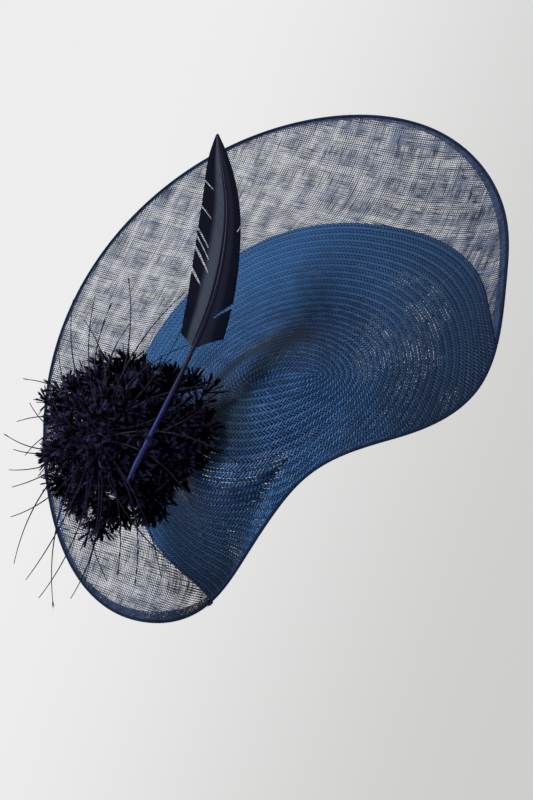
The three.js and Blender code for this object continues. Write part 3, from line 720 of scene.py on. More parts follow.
# Plain weave: threads both ways at an even pitch, each with its own thickness and its own slubs along it,
# wandering a little; between them the cloth is open. Near the rim it is denser.
def sinamayFinish(name, turn, shift, density=1.0, rimDensity=0.35, cornerDensity=1.8, tint=None):
    finish = newFinish(name, roughness=0.62, specular=0.2)
    mapped = addNode(finish.node_tree, "ShaderNodeMapping", {
        "Vector": uvPlace(finish, "cloth"), "Rotation": (0, 0, math.radians(turn)),
        "Location": (shift, shift * 0.7, shift)})
    wave = vectorSum("ADD", noise(mapped, 9, 1, kind="Color"), {1: (-0.5, -0.5, -0.5)})
    wave = vectorSum("SCALE", wave, {"Scale": sinamay["wander"]})
    x, y, _ = splitPlace(vectorSum("ADD", mapped, {1: wave}))
    edge, around, _ = splitPlace(uvPlace(finish, "edge"))
    corner = larger(ramp(around, 0.20, -0.06), ramp(around, 0.44, 0.54) * 0.6)
    rim = ramp(edge, 0.016, 0.0) + corner * cornerDensity
    clouds = ramp(noise(mapped, 30, 2), 0.40, 0.70)
    masks, tones = [], []
    for index, (across, along) in enumerate(((x, y), (y, x))):
        count = across / (sinamay["threadPitches"][index] * mm)
        number = floor(count)
        middle = fract(count) - 0.5
        own = randomOf(number + (31.7 * index + shift * 50))
        slub = ramp(noise(joinPlace(number * 0.83, along * 42.0, 7.0 * index), 1.0, 1), 0.56, 0.72)
        broad = ramp(noise(joinPlace(number * 0.27, along * 38.0, 5.0 * index), 1.0, 1), 0.40, 0.68)
        half = 0.014 + own * 0.13 + slub * 0.10 + broad * 0.09 + clouds * 0.03
        half = half * (density + rim * rimDensity)
        masks.append(ramp(half - abs(middle), -0.11, 0.11))
        tones.append(own + slub * (-0.4))
    cover = larger(masks[0], masks[1])
    tone = ramp((tones[0] + tones[1]) * 0.5, 0.15, 0.85)
    colour = mixColours(tone, *(tint or (sinamay["thread"], sinamay["pale"])))
    return drive(finish, colour, masks[0] + masks[1], 0.2, 0.3, alpha=cover)


# The hem is the cloth turned in along the rim: a narrow strip over the upper ply, wider towards the front
# corners, where it meets the straw
hem = {"width": 3, "cornerWidths": (15, 21), "cornerReaches": (44, 36), "depth": 1.35,
       "tint": ((0.006, 0.013, 0.038), (0.022, 0.042, 0.10))}


def hemBand(finish):
    def inner(seam, length, at):
        corners = zip((brimStart, brimEnd), hem["cornerWidths"], hem["cornerReaches"])
        extra = sum((wide - hem["width"]) * np.exp(-((at - end) / reach) ** 2)
                    for end, wide, reach in corners)
        return np.maximum(length - hem["width"] - extra, seam - 2)
    return clothOnBrim("sinamayHem", 6, inner, lambda seam, length, at: length - 0.3, hem["depth"], finish)[0]


# Rolled edge, and the wire and joiner inside it
binding = {"round": 480, "roll": 1.05, "rollOut": 1.1, "lip": 0.7, "half": 1.3, "stack": 3.1,
           "wire": 0.45, "joiner": 0.8, "joinerLength": 14}


def rimFrames(at):
    point, _, normal = blockFace(at, np.ones_like(at))
    before, after = blockPoint(at - 0.5, 1.0), blockPoint(at + 0.5, 1.0)
    along = unit(after - before)
    out = unit(np.cross(along, normal))
    return point - normal * binding["stack"] / 2, along, out, normal


# A round roll outside the rim with two short lips that lie on the cloth
def rolledSection():
    turn = np.radians(np.linspace(-90, 90, 9))
    roll = np.stack([np.cos(turn) * binding["roll"] + binding["rollOut"], np.sin(turn) * binding["half"]], -1)
    lip = np.array([[-binding["lip"], binding["half"] - 0.1], [-binding["lip"], -binding["half"] + 0.1]])
    return np.vstack([roll, lip])


def rolledEdge(name, start, end, finish, node):
    steps = max(int(binding["round"] * (end - start) / 360), 12)
    at = np.linspace(start, end, steps)
    path, _, out, up = rimFrames(at)
    section = rolledSection()
    points, faces = sweep(path, out, up, section)
    piece = buildMesh(name, worn(points), faces, finish, {"tape": tapeMap(faces, len(section), path)})
    return settle(piece, "hat", [node])


# The brim wire runs inside the roll; its ends meet in a sleeve bent to the rim, in the frame's place for it
def brimWire(wireFinish, joinerFinish):
    def rod(name, turns, radius, sides, closed, finish, node):
        path, _, out, up = rimFrames(turns)
        path = path + out * binding["rollOut"]
        points, faces = sweep(path, out, up, ringSection(radius, sides), closed=closed)
        settle(buildMesh(name, worn(points), faces, finish), "hat", [node])
    turns = np.linspace(0, 360, binding["round"], endpoint=False)
    rod("brimWire", turns, binding["wire"], 10, True, wireFinish, "edge_wire")
    low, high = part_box("wire_joiner")
    x, y, _ = (np.array(low) + np.array(high)) / 2 / mm @ hatTurn
    middle = math.degrees(math.atan2(y, x))
    step = rimFrames(np.array([middle - 0.5, middle + 0.5]))[0]
    half = binding["joinerLength"] / 2 / np.linalg.norm(step[1] - step[0])
    turns = np.linspace(middle - half, middle + half, 15)
    rod("wireJoiner", turns, binding["joiner"], 16, False, joinerFinish, "wire_joiner")


# Tape map: millimetres along the path and share round the section; end caps get a plain place
def tapeMap(faces, sides, path, around=9.0):
    run = runAlong(path)
    values = []
    for face in faces:
        if len(face) != 4:
            values += [(0.0, 0.0)] * len(face)
            continue
        rows = [k // sides for k in face]
        places = [k % sides for k in face]
        if max(places) - min(places) > 1:
            places = [p or sides for p in places]
        values += [(run[r], p / sides * around) for r, p in zip(rows, places)]
    return np.array(values)


# Satin bias tape: fine ribs at a slant along it, and small hand stitches at an even pitch
def bindingFinish():
    finish = newFinish("biasTape", roughness=0.7, specular=0.04)
    along, around, _ = splitPlace(uvPlace(finish, "tape"))
    slant = rib(along + around, 0.9)
    stitch = abs(fract(along / 6.5) - 0.5)
    stitch = ramp(stitch, 0.10, 0.05)
    wear = noise(objectPlace(finish), 60, 3)
    colour = mixColours(wear, (0.004, 0.009, 0.026), (0.014, 0.028, 0.068))
    colour = mixColours(stitch * 0.5, colour, (0.004, 0.006, 0.016))
    height = slant * 0.3 - stitch
    return drive(finish, colour, height, 0.25, 0.6)


# Knot of dark thread where the two tapes meet at the lower corner: loops side by side, and two loose ends
knot = {"stand": 1.8, "radius": 2.3, "pitch": 0.7, "sway": 0.5, "loops": 5, "thread": 0.38,
        "ends": (5.5, 4.0), "endThread": 0.3}


def threadKnot(finish):
    path, along, out, up = rimFrames(np.array([brimEnd, brimEnd + 0.4]))
    centre = worn(path[0] + out[0] * knot["stand"])
    side, rise, way = wornWay(out[0]), wornWay(up[0]), wornWay(along[0])
    turn = roundTurns(20)
    parts = []
    for k in range(knot["loops"]):
        loop = centre + way * (k - (knot["loops"] - 1) / 2) * knot["pitch"] * mm
        loop = loop + knot["radius"] * mm * (np.cos(turn)[:, None] * side + np.sin(turn)[:, None] * rise)
        loop = loop + way * (knot["sway"] * mm * np.sin(turn + k))[:, None]
        outs = unit(loop - loop.mean(0))
        onwards = unit(np.roll(loop, -1, 0) - loop)
        section = ringSection(knot["thread"] * mm, 6)
        parts.append(sweep(loop, outs, np.cross(onwards, outs), section, closed=True))
    for k, reach in enumerate(knot["ends"]):
        start = centre + side * 2.0 * mm
        end = start + (side * reach + way * (2 - 3 * k) + rise * (k - 1)) * mm
        tail = curveThrough([start, (start + end) / 2 + way * 0.8 * mm, end], 8)
        _, across, over = carriedFrames(tail, rise)
        parts.append(sweep(tail, across, over, ringSection(knot["endThread"] * mm, 5)))
    points, faces = tubeParts(parts)
    settle(buildMesh("threadKnot", points, faces, finish), "hat")


# Feather pad on the straw, and the cluster that stands on it
mount = {
    "padAt": 172, "padArc": 95, "padRadius": 18, "padThickness": 3, "padLift": 0.35,
    "centre": (-123, 0, -52), "axis": (-0.45, -0.87, 0.2), "radius": 84, "bulge": 34,
}
clusterAxis = unit(np.array(mount["axis"]))
clusterUp = unit(np.array([0, 0, 1.0]) - clusterAxis * clusterAxis[2])
clusterRight = np.cross(clusterUp, clusterAxis)


# Place in the cluster: its centre, out at a turn and radius across the axis, and up by a rise along it
def inCluster(turn, radius, rise):
    turn, radius, rise = (np.asarray(x, float)[..., None] for x in np.broadcast_arrays(turn, radius, rise))
    across = radius * np.cos(turn) * clusterRight + radius * np.sin(turn) * clusterUp
    return np.array(mount["centre"], float) + across + rise * clusterAxis


def padFrame():
    at = np.array([float(mount["padAt"])])
    share = shareAtArc(at, np.array([[float(mount["padArc"])]]))[0]
    point, _, normal = blockFace(at, share)
    centre, up = worn(point[0]) / mm, wornWay(normal[0])
    lift = unit(clusterUp - up * np.dot(clusterUp, up))
    return centre, up, np.cross(lift, up), lift


padCentre, padUp, padRight, padLift = padFrame()


def onPad(turn, radius, lift=0.9):
    turn, radius = (np.asarray(x, float)[..., None] for x in np.broadcast_arrays(turn, radius))
    foot = padCentre + padUp * (mount["padLift"] + mount["padThickness"] + lift)
    return foot + padRight * radius * np.cos(turn) + padLift * radius * np.sin(turn)


# Felt disc: a round grid with a soft rounded edge, its thickness given by a listed profile across the radius
def featherPad(finish):
    turn = roundTurns(72)
    profile = [(0, 1), (0.4, 1), (0.75, 1), (0.93, 0.94), (0.985, 0.75), (1, 0.5), (0.985, 0.2),
               (0.93, 0.04), (0.75, 0), (0.4, 0), (0, 0)]
    r, h = np.array(profile).T
    wave = 1 + 0.012 * np.sin(5 * turn) + 0.008 * np.sin(11 * turn + 1)
    radius = mount["padRadius"] * r[None] * wave[:, None]
    height = mount["padLift"] + mount["padThickness"] * h[None] * np.ones_like(radius)
    points = (padCentre + padRight * (radius * np.cos(turn)[:, None])[..., None]
              + padLift * (radius * np.sin(turn)[:, None])[..., None] + padUp * height[..., None])
    faces = gridFaces(len(turn), len(profile), closed=True)
    piece = buildMesh("featherPad", points * mm, faces, finish, merge=True)
    settle(piece, "hat", ["feather_pad"])


# Rosettes: their stalks, the stars that fill the cluster, and the blades of a star
rosette = {
    "count": 26, "firstStem": 3.5, "firstTurn": 0.2, "stem": 0.9,
    "clear": 7, "allStars": 120, "deepStars": 250, "dome": 62, "deepDome": 26,
    "blades": (11, 16), "length": (14, 20), "width": (1.6, 2.5), "open": (30, 84),
    # the deep stars' blade maps stop at this share of the way along, inside the painted shade of a blade's
    # foot
    "over": 0.8, "deepShadeTip": 0.3,
}
goldenAngle = math.pi * (3 - math.sqrt(5))


# Blades of many stars at once. Each blade is a folded leaf: three columns (edge, quill, edge) and five rows,
# narrow at the foot, widest near the tip, curving back outwards, with the quill shorter than the edges so
# that the tip is forked. Sizes swells the blades of each star.
def starBlades(centres, axes, sizes):
    count = len(centres)
    most = rosette["blades"][1]
    number = random.integers(*rosette["blades"], count)
    star = np.repeat(np.arange(count), most)
    blade = np.tile(np.arange(most), count)
    used = blade < number[star]
    star, blade = star[used], blade[used]
    helper = np.where(np.abs(axes[:, 2:3]) < 0.9, [[0, 0, 1.0]], [[1.0, 0, 0]])
    first = unit(np.cross(axes, helper))
    second = np.cross(axes, first)
    shares = (blade + random.uniform(-0.3, 0.3, len(blade))) / number[star]
    turn = shares * 2 * np.pi + random.uniform(0, 6, count)[star]
    inner = blade % 3 == 0
    opening = np.radians(random.uniform(*rosette["open"], len(blade)) * np.where(inner, 0.55, 1.0))
    length = random.uniform(*rosette["length"], len(blade)) * np.where(inner, 0.85, 1) * sizes[star]
    width = random.uniform(*rosette["width"], len(blade)) * sizes[star] ** 2
    away = first[star] * np.cos(turn)[:, None] + second[star] * np.sin(turn)[:, None]
    side = second[star] * np.cos(turn)[:, None] - first[star] * np.sin(turn)[:, None]
    t = np.array([0.0, 0.3, 0.6, 0.85, 1.0])
    lean = opening[:, None] + random.uniform(0.0, 0.3, len(blade))[:, None] * (t[None] - 0.3)
    ahead = np.cos(lean)[..., None] * axes[star][:, None] + np.sin(lean)[..., None] * away[:, None]
    step = np.diff(t, prepend=0)[None, :, None] * length[:, None, None]
    spine = centres[star][:, None] + np.cumsum(ahead * step, 1)
    wide = np.array([0.22, 0.55, 0.9, 1.0, 0.45])[None] * width[:, None] / 2
    fold = np.cross(side[:, None], ahead)
    twist = random.uniform(-0.5, 0.5, len(blade))[:, None, None]
    over = side[:, None] * np.cos(twist) + fold * np.sin(twist)
    edge = over * wide[..., None]
    raised = fold * (wide * 0.45)[..., None]
    quill = spine.copy()
    quill[:, -1] -= ahead[:, -1] * (length * random.uniform(0.10, 0.26, len(blade)))[:, None]
    return np.stack([spine - edge + raised, quill, spine + edge + raised], 2)


def bladeFaces(count, rows=5, columns=3):
    one = gridFaces(rows, columns)
    return (one[None] + (np.arange(count) * rows * columns)[:, None, None]).reshape(-1, 4)


def bladeMap(count, tip=1.0, rows=5, columns=3):
    grid = np.stack(np.meshgrid(np.linspace(0, tip, rows), np.linspace(0, 1, columns), indexing="ij"), -1)
    corners = cornerValues(gridFaces(rows, columns), grid)
    whole = np.tile(corners[None], (count, 1, 1))
    whole[..., 1] += np.arange(count)[:, None] * 2
    return whole.reshape(-1, 2)


# Height over the hat's face, by the plane of the nearest of an even set of places on it, and the way out
def overHat(points):
    turn, share = np.meshgrid(np.arange(0.0, 360.0, 5.0), np.linspace(0.02, 1, 32), indexing="ij")
    face, _, normal = blockFace(turn, share)
    face, normal = worn(face).reshape(-1, 3) / mm, wornWay(normal).reshape(-1, 3)
    flat = points.reshape(-1, 3)
    nearest = ((face**2).sum(1) - 2 * flat @ face.T).argmin(1)
    height = ((flat - face[nearest]) * normal[nearest]).sum(1)
    return height.reshape(points.shape[:-1]), normal[nearest].reshape(points.shape)


# The stars fill a dome evenly: star i lies at a turn of i golden angles and a radius by the square root of
# its share, with a ragged outline. The deep ones lie behind. One too near the hat is lifted clear of it and
# turned outwards.
def starPlaces():
    places, ways, sizes, deep = [], [], [], []
    for count, dome, low, high, size in ((rosette["allStars"], rosette["dome"], -16, 5, 1.0),
                                         (rosette["deepStars"], rosette["deepDome"], -30, 4, 1.3)):
        i = np.arange(count)
        share = np.sqrt((i + 0.5) / count)
        turn = i * goldenAngle + random.normal(size=count) * 0.05
        ragged = 0.97 + 0.08 * np.sin(3 * turn + 0.6) + 0.10 * np.sin(7 * turn + 2)
        ragged = (ragged + 0.06 * np.sin(12 * turn)) * (1 - 0.09 * np.clip(-np.sin(turn), 0, 1))
        radius = (mount["radius"] + 2) * share * ragged * random.uniform(0.94, 1.04, count) / size**0.25
        rise = dome * (1 - share**2) + random.uniform(low, high, count)
        places.append(inCluster(turn, radius, rise) - clusterRight * 4)
        deep.append(np.full(count, size > 1.1))
        ways.append(unit(unit(places[-1] - inCluster(0, 0, -34)) + random.normal(size=(count, 3)) * 0.32))
        sizes.append(random.uniform(0.85, 1.1, count) * size)
    places, ways = np.vstack(places), np.vstack(ways)
    height, out = overHat(places)
    places = places + out * np.clip(rosette["clear"] - height, 0, None)[:, None]
    low = np.clip(0.5 - (ways * out).sum(1), 0, None)[:, None]
    return places, unit(ways + out * low), np.concatenate(sizes), np.concatenate(deep)


# Each rosette is a stalk from the pad with a star at its top, and with the stars nearest to its head on side
# stalks. Blades that would dip into the hat are left out.
def featherRosettes(finish):
    i = np.arange(rosette["count"])
    share = np.sqrt((i + rosette["firstStem"]) / (rosette["count"] + rosette["firstStem"]))
    turn = rosette["firstTurn"] + i * goldenAngle
    feet = onPad(turn, (mount["padRadius"] - 2 * rosette["stem"]) * share)
    heads = inCluster(turn, mount["radius"] * share, mount["bulge"] * (1 - share**2))
    places, ways, sizes, deep = starPlaces()
    owner = np.linalg.norm(places[:, None] - heads[None], axis=-1).argmin(1)
    for k in i:
        foot, head = feet[k], heads[k]
        way = unit(head - foot)
        mine = owner == k
        centres = np.vstack([head - way * 6, places[mine]])
        axes = np.vstack([unit(way + unit(head - inCluster(0, 0, -30))), ways[mine]])
        swell = np.concatenate([[1.0], sizes[mine]])
        behind = np.concatenate([[False], deep[mine]])
        front = starBlades(centres[~behind], axes[~behind], swell[~behind])
        back = starBlades(centres[behind], axes[behind], swell[behind])
        front, back = (some[overHat(some[:, 1:])[0].min((1, 2)) > rosette["over"]] for some in (front, back))
        blades = np.concatenate([front, back])
        parts = [(blades, bladeFaces(len(blades)).tolist())]
        for j, centre in enumerate(centres):
            root = foot if j == 0 else head - way * (16 + 3 * (j % 4))
            bend = (root + centre) / 2 + way * (2 if j == 0 else 3)
            path = curveThrough([root, bend, centre + axes[j] * 0.8], 7)
            _, out, up = carriedFrames(path, clusterRight + 0.01 * clusterUp)
            section = ringSection(rosette["stem"] * (0.9 if j == 0 else 0.5), 6)
            parts.append(sweep(path, out, up, section, np.linspace(1, 0.8, len(path))))
        points, faces = tubeParts(parts)
        # the deep stars' maps end short of the tip, so they take the painted shade nearly all over
        uv = np.vstack([bladeMap(len(front)), bladeMap(len(back), tip=rosette["deepShadeTip"])])
        rest = sum(len(f) for f in faces) - len(uv)
        uv = np.vstack([uv, np.full((rest, 2), 0.5)])
        piece = buildMesh(f"featherRosette{k + 1:02d}", points * mm, faces, finish, {"blade": uv})
        settle(piece, "hat", [f"rosette_{k + 1:02d}"])


# Near-black navy to violet, a different tone on each blade, with a painted highlight along its edges
# and its quill and painted shade towards its foot
def rosetteFinish():
    finish = newFinish("rosetteFeather", roughness=0.5, specular=0.02)
    u, v, _ = splitPlace(uvPlace(finish, "blade"))
    across = abs(fract(v) - 0.5)
    rim = ramp(across, 0.36, 0.5)
    quill = ramp(across, 0.10, 0.02)
    each = randomOf(floor(v))
    barb = sine((u * 34.0 - across * 14.0) * (2 * math.pi))  # 34 barbs along a blade, aslant
    place = objectPlace(finish)
    patch = noise(place, 38, 2)
    hue = mixColours(ramp(each, 0.45, 0.98), (0.0006, 0.0006, 0.0025), (0.030, 0.024, 0.078))
    hue = mixColours(ramp(patch, 0.52, 0.72), hue, (0.007, 0.012, 0.038))
    # painted highlight along the edges and the quill, stronger towards the tip
    lit = larger(rim, quill * 0.7) * ramp(u, 0.1, 0.9)
    colour = mixColours(lit * 0.8, hue, (0.130, 0.105, 0.255))
    # painted shade towards each blade's foot
    colour = mixColours(ramp(u, 0.66, 0.28), colour, (0.0004, 0.0004, 0.0014))
    height = barb + quill
    return drive(finish, colour, height, 0.15, 0.5)


# Each bunch is bound to a bead on its own stalk. A quill has a direction round the cluster's axis, a
# length, a bow to one side as a share of its length, and a lift towards the front.
quillBunches = {
    "dip": 0.12, "butt": 1.05, "tip": 0.34, "bead": 2.6,
    "upper": {"rise": 42, "side": 5, "quills": (
        (22, 118, 0.1, 0), (26, 104, -0.13, 3), (65, 150, 0.09, 2), (85, 106, 0.1, 4),
        (90, 146, -0.08, 0), (105, 138, 0.07, 3), (115, 144, 0.1, 1), (12, 96, -0.15, 6),
        (48, 112, 0.13, 2), (58, 128, -0.1, 5), (98, 122, 0.1, 2), (112, 118, -0.13, 4))},
    "outer": {"rise": 47, "side": -1, "quills": (
        (127, 108, 0.1, 2), (143, 86, 0.16, 4), (172, 104, -0.1, 1), (187, 104, 0.1, 3),
        (198, 106, 0.09, 2), (218, 126, 0.12, 4), (160, 96, 0.14, 3), (180, 112, 0.12, 0),
        (192, 90, -0.15, 5), (206, 112, 0.07, 2), (150, 112, -0.11, 1))},
    "lower": {"rise": 52, "side": -7, "quills": (
        (249, 158, 0.1, 2), (255, 156, -0.1, 4), (267, 134, 0.07, 1), (278, 130, -0.11, 3),
        (291, 134, 0.14, 2), (301, 144, 0.09, 4), (312, 166, -0.11, 1), (353, 145, 0.12, 3),
        (233, 146, -0.11, 2), (241, 150, 0.07, 5), (284, 122, 0.1, 2), (262, 148, 0.12, 0),
        (330, 120, 0.14, 3))},
}


# A quill's line is a quadratic bow from the bead to its tip; its section is a flattened ring that tapers,
# with a small tuft of barbs left at some tips
def strippedQuills(name, bunch, node, finish):
    bead = inCluster(math.pi / 2, bunch["side"], bunch["rise"])
    shift = bead - inCluster(0, 0, bunch["rise"])
    parts = []
    for k, (turn, length, bow, lift) in enumerate(bunch["quills"]):
        turn = math.radians(turn)
        t = np.linspace(0, 1, 22)
        radius = length * t
        side = length * bow * 4 * t * (1 - t)
        swing = turn + np.arctan2(side, np.maximum(radius, 1e-3))
        rise = bunch["rise"] - quillBunches["dip"] * length * t + lift * 4 * t * (1 - t)
        path = inCluster(swing, np.hypot(radius, side), rise) + shift
        along, out, up = carriedFrames(path, clusterAxis)
        scale = quillBunches["butt"] + (quillBunches["tip"] - quillBunches["butt"]) * t**0.8
        section = ringSection(1, 7) * (0.75, 1.15)
        parts.append(sweep(path, out, up, section, scale))
        if k % 3 == 1:
            parts += tipTuft(path[-1], along[-1], out[-1], up[-1])
    turn, lie = np.meshgrid(roundTurns(18), np.linspace(0, np.pi, 10), indexing="ij")
    ball = np.stack([np.sin(lie) * np.cos(turn), np.sin(lie) * np.sin(turn), np.cos(lie)], -1)
    ballFaces = gridFaces(*turn.shape, closed=True, flip=True)
    parts.append((bead + ball * quillBunches["bead"], ballFaces.tolist()))
    foot = onPad(math.pi / 2, bunch["side"])
    stalk = curveThrough([foot, (foot + bead) / 2 + clusterRight * 1.5, bead], 12)
    along, out, up = carriedFrames(stalk, clusterRight)
    parts.append(sweep(stalk, out, up, ringSection(0.85, 8)))
    points, faces = tubeParts(parts)
    piece = buildMesh(name, points * mm, faces, finish, merge=True)
    return settle(piece, "hat", [node])


def tipTuft(place, along, out, up):
    parts = []
    swell = np.array([1, 1.2, 1, 0.5])
    for k in range(7):
        turn = (k - 3) * 0.13
        way = along * math.cos(turn) + out * math.sin(turn)
        end = place + way * (6.5 - abs(k - 3) * 0.8) + up * 0.3 * (k % 2)
        line = np.linspace(place - along * 2.5, end, 4)
        side = unit(np.cross(way, up))
        parts.append(sweep(line, np.tile(side, (4, 1)), np.tile(up, (4, 1)), ringSection(0.22, 4), swell))
    return parts


def strippedFinish():
    finish = newFinish("strippedQuill", specular=0.08)
    place = objectPlace(finish)
    patch = noise(place, 16, 2)
    mottled = noise(place, 220, 2)
    colour = mixColours(ramp(patch, 0.40, 0.66), (0.002, 0.002, 0.007), (0.011, 0.008, 0.024))
    colour = mixColours(ramp(mottled, 0.5, 0.8), colour, (0.026, 0.021, 0.045))
    roughness = 0.32 + mottled * 0.2
    return drive(finish, colour, mottled, 0.1, 0.3, roughness=roughness)


# Long quill: its route, its vanes' outlines, and each slit's share along, start and opening
feather = {
    "route": ((-116, -84, -86), (-87, -62, -26), (-56, -37, 40), (-37, -12, 93), (-27, 20, 167),
              (-37, 56, 249)),
    "butt": 2.8, "tip": 0.5, "face": (-0.25, -0.95, 0.15), "foot": 0.38,
    "shaftSteps": 140, "vaneSteps": 900, "barbs": 150, "across": 14,
    "slopes": (0.7, 1.1), "fray": 0.005, "slitReach": 0.035,
    "left": {"along": (0, 0.15, 0.4, 0.6, 0.8, 0.93, 1), "wide": (14, 22, 28.5, 28, 19.5, 9.5, 0.8),
             "slits": ((0.27, 0.35, 3.0), (0.31, 0.45, 2.2), (0.35, 0.5, 1.6), (0.20, 0.5, 2.6),
                       (0.49, 0.6, 1.1), (0.66, 0.6, 1.0))},
    "right": {"along": (0, 0.15, 0.35, 0.6, 0.8, 0.93, 1), "wide": (25, 21, 17, 13, 9.5, 5, 0.8),
              "slits": ((0.12, 0.25, 3.2), (0.45, 0.7, 0.9))},
}


# The route again as part of one even run, with its frames: out lies across the feather's face
def featherRun(count):
    dense = centripetalRoute(np.array(feather["route"], float), 400)
    run = runAlong(dense)
    even = np.linspace(0, run[-1], count)
    path = np.stack([np.interp(even, run, dense[:, k]) for k in range(3)], -1)
    along = unit(np.gradient(path, axis=0))
    out = unit(np.cross(unit(np.array(feather["face"])), along))
    return path, along, out, np.cross(along, out), run[-1]


# Catmull-Rom with centripetal spacing: each piece is a Hermite cubic whose end slopes weigh the
# neighbouring chords by the square roots of their lengths
def centripetalRoute(p, count):
    p = np.vstack([2 * p[0] - p[1], p, 2 * p[-1] - p[-2]])
    d = np.sqrt(np.linalg.norm(np.diff(p, axis=0), axis=1))
    share = np.linspace(0, len(p) - 3 - 1e-9, count)
    k = share.astype(int)
    t = (share - k)[:, None]
    d0, d1, d2 = d[k][:, None], d[k + 1][:, None], d[k + 2][:, None]
    a, b, c, e = p[k], p[k + 1], p[k + 2], p[k + 3]
    m1 = ((b - a) / d0 - (c - a) / (d0 + d1) + (c - b) / d1) * d1
    m2 = ((c - b) / d1 - (e - b) / (d1 + d2) + (e - c) / d2) * d1
    return ((2 * t**3 - 3 * t**2 + 1) * b + (t**3 - 2 * t**2 + t) * m1
            + (-2 * t**3 + 3 * t**2) * c + (t**3 - t**2) * m2)


# The shaft: a ring section, flatter on its back, that tapers from the butt and narrows fast at its very end
def quillShaft(finish):
    path, _, out, up, length = featherRun(feather["shaftSteps"])
    t = np.linspace(0, 1, len(path))
    scale = feather["butt"] + (feather["tip"] - feather["butt"]) * t
    scale = scale * np.clip(0.35 + t * 14, 0, 1)
    section = ringSection(1, 16)
    section[:, 1] *= np.where(section[:, 1] > 0, 0.95, 0.8)
    points, faces = sweep(path, out, up, section, scale)
    uv = tapeMap(faces, len(section), path / length, around=1.0)
    piece = buildMesh("quillShaft", points * mm, faces, finish, {"tape": uv})
    return settle(piece, "hat", ["quill_shaft"])


# One side of the vane. Barb b leaves the shaft at share s and runs outwards and forwards to the edge; a place
# on it is shaft(s + forward q) + out * width q + a cupped rise. At a slit the barbs on the two sides of it
# part, from a share q of their length outwards.
def featherVane(name, side, shape, finish, node):
    path, _, out, up, length = featherRun(feather["vaneSteps"])
    foot, barbs, across = feather["foot"], feather["barbs"], feather["across"]
    s = np.linspace(0, 1, barbs)
    slope = feather["slopes"][0] + feather["slopes"][1] * np.clip(s / 0.3, 0, 1)
    # a barb ends where its own reach forwards meets the outline, found by halving steps
    edgeShare = s.copy()
    for _ in range(24):
        width = np.maximum(splineWeights(shape["along"], edgeShare) @ np.array(shape["wide"], float), 0.3)
        edgeShare = np.minimum((edgeShare + s + width * slope / (length * (1 - foot))) / 2, 1)
    fray = 1 + random.normal(size=barbs) * feather["fray"]
    q = np.linspace(0, 1, across)[None]
    place = s[:, None] + (width * slope / (length * (1 - foot)))[:, None] * q
    for at, start, opening in shape["slits"]:
        gap = opening / (length * (1 - foot)) * np.clip((q - start) / (1 - start), 0, 1)
        distance = s[:, None] - at
        place = place + np.sign(distance) * gap * 0.5 * np.exp(-np.abs(distance) / feather["slitReach"])
    place = np.clip(place, 0, 1)
    index = (foot + (1 - foot) * place) * (len(path) - 1)
    k = np.clip(index.astype(int), 0, len(path) - 2)
    f = (index - k)[..., None]
    root = path[k] * (1 - f) + path[k + 1] * f
    sideWay, upWay = out[k], up[k]
    thick = (feather["butt"] + (feather["tip"] - feather["butt"]) * (foot + (1 - foot) * place))
    reach = thick * 0.7 + width[:, None] * q * fray[:, None]
    cup = -1.6 * np.sin(np.pi * q * 0.9) * width[:, None] / 25 + 0.25 * np.sin(s[:, None] * 23 + q * 3) * q
    if side > 0:
        cup = cup * -0.7 + 1.2 * q**2 * width[:, None] / 20
    points = root + sideWay * (side * reach)[..., None] + upWay * (cup * -1.0)[..., None]
    faces = gridFaces(barbs, across, flip=side > 0)
    whole = np.ones(len(faces), bool)
    rows, columns = np.divmod(faces.min(1), across)
    for at, start, _ in shape["slits"]:
        row = int(np.searchsorted(s, at)) - 1
        whole &= ~((rows == row) & (columns >= start * (across - 1)))
    faces = faces[whole]
    grid = np.stack([s[:, None] * np.ones_like(q), q * np.ones_like(s)[:, None]], -1)
    piece = buildMesh(name, points * mm, faces, finish, {"vane": cornerValues(faces, grid)})
    return settle(piece, "hat", [node])


# Fine barbs across the vane, and a painted sheen: a pale band beside the shaft that fades outwards,
# strong on the left vane and faint on the right
def vaneFinish(name, band):
    finish = newFinish(name, specular=0.02)
    u, v, _ = splitPlace(uvPlace(finish, "vane"))
    barb = sine(u * (2 * math.pi * feather["barbs"]))
    own = randomOf(floor(u * feather["barbs"]))
    streak = noise(joinPlace(u * 60.0, v * 1.2), 1.0, 3)
    near = ramp(v, 0.06, 0.14) * ramp(v, 0.62, 0.36)
    paintedSheen = near * band
    colour = mixColours(streak, (0.0010, 0.0014, 0.005), (0.0028, 0.0040, 0.013))
    # painted sheen: the pale band's colour
    colour = mixColours(paintedSheen, colour, (0.046, 0.054, 0.080))
    colour = mixColours(own * 0.25, colour, (0.006, 0.007, 0.016))
    roughness = 0.42 + streak * 0.2
    return drive(finish, colour, barb, 0.12, 0.45, roughness=roughness)


# The shaft goes from royal blue at its butt to slate with a blue edge higher up
def shaftFinish():
    finish = newFinish("dyedShaft", specular=0.12)
    along, around, _ = splitPlace(uvPlace(finish, "tape"))
    streak = noise(joinPlace(along * 9.0, around * 16.0), 1.0, 3)
    blue = mixColours(ramp(streak, 0.35, 0.65), (0.004, 0.006, 0.050), (0.014, 0.026, 0.150))
    dark = mixColours(ramp(streak, 0.35, 0.65), (0.002, 0.002, 0.008), (0.009, 0.008, 0.022))
    colour = mixColours(ramp(along, 0.17, 0.33), blue, dark)
    ridge = ramp(abs(around - 0.5), 0.20, 0.10)
    colour = mixColours(ridge * ramp(along, 0.3, 0.42), colour, (0.022, 0.026, 0.120))
    roughness = 0.25 + streak * 0.2
    return drive(finish, colour, streak, 0.15, 0.35, roughness=roughness)


# Wrapped post under the long quill
post = {"share": 0.12, "turn": -60, "reach": 3, "radius": 1.0, "tieRadius": 0.7, "wraps": 13}


# A ring of thread about a centre, across a way
def threadRing(centre, radius, side, rise, way, thickness):
    turn = roundTurns(16)
    ring = centre + radius * (np.cos(turn)[:, None] * side + np.sin(turn)[:, None] * rise)
    section = ringSection(thickness, 6)
    return sweep(ring, unit(ring - centre), np.tile(way, (len(ring), 1)), section, closed=True)


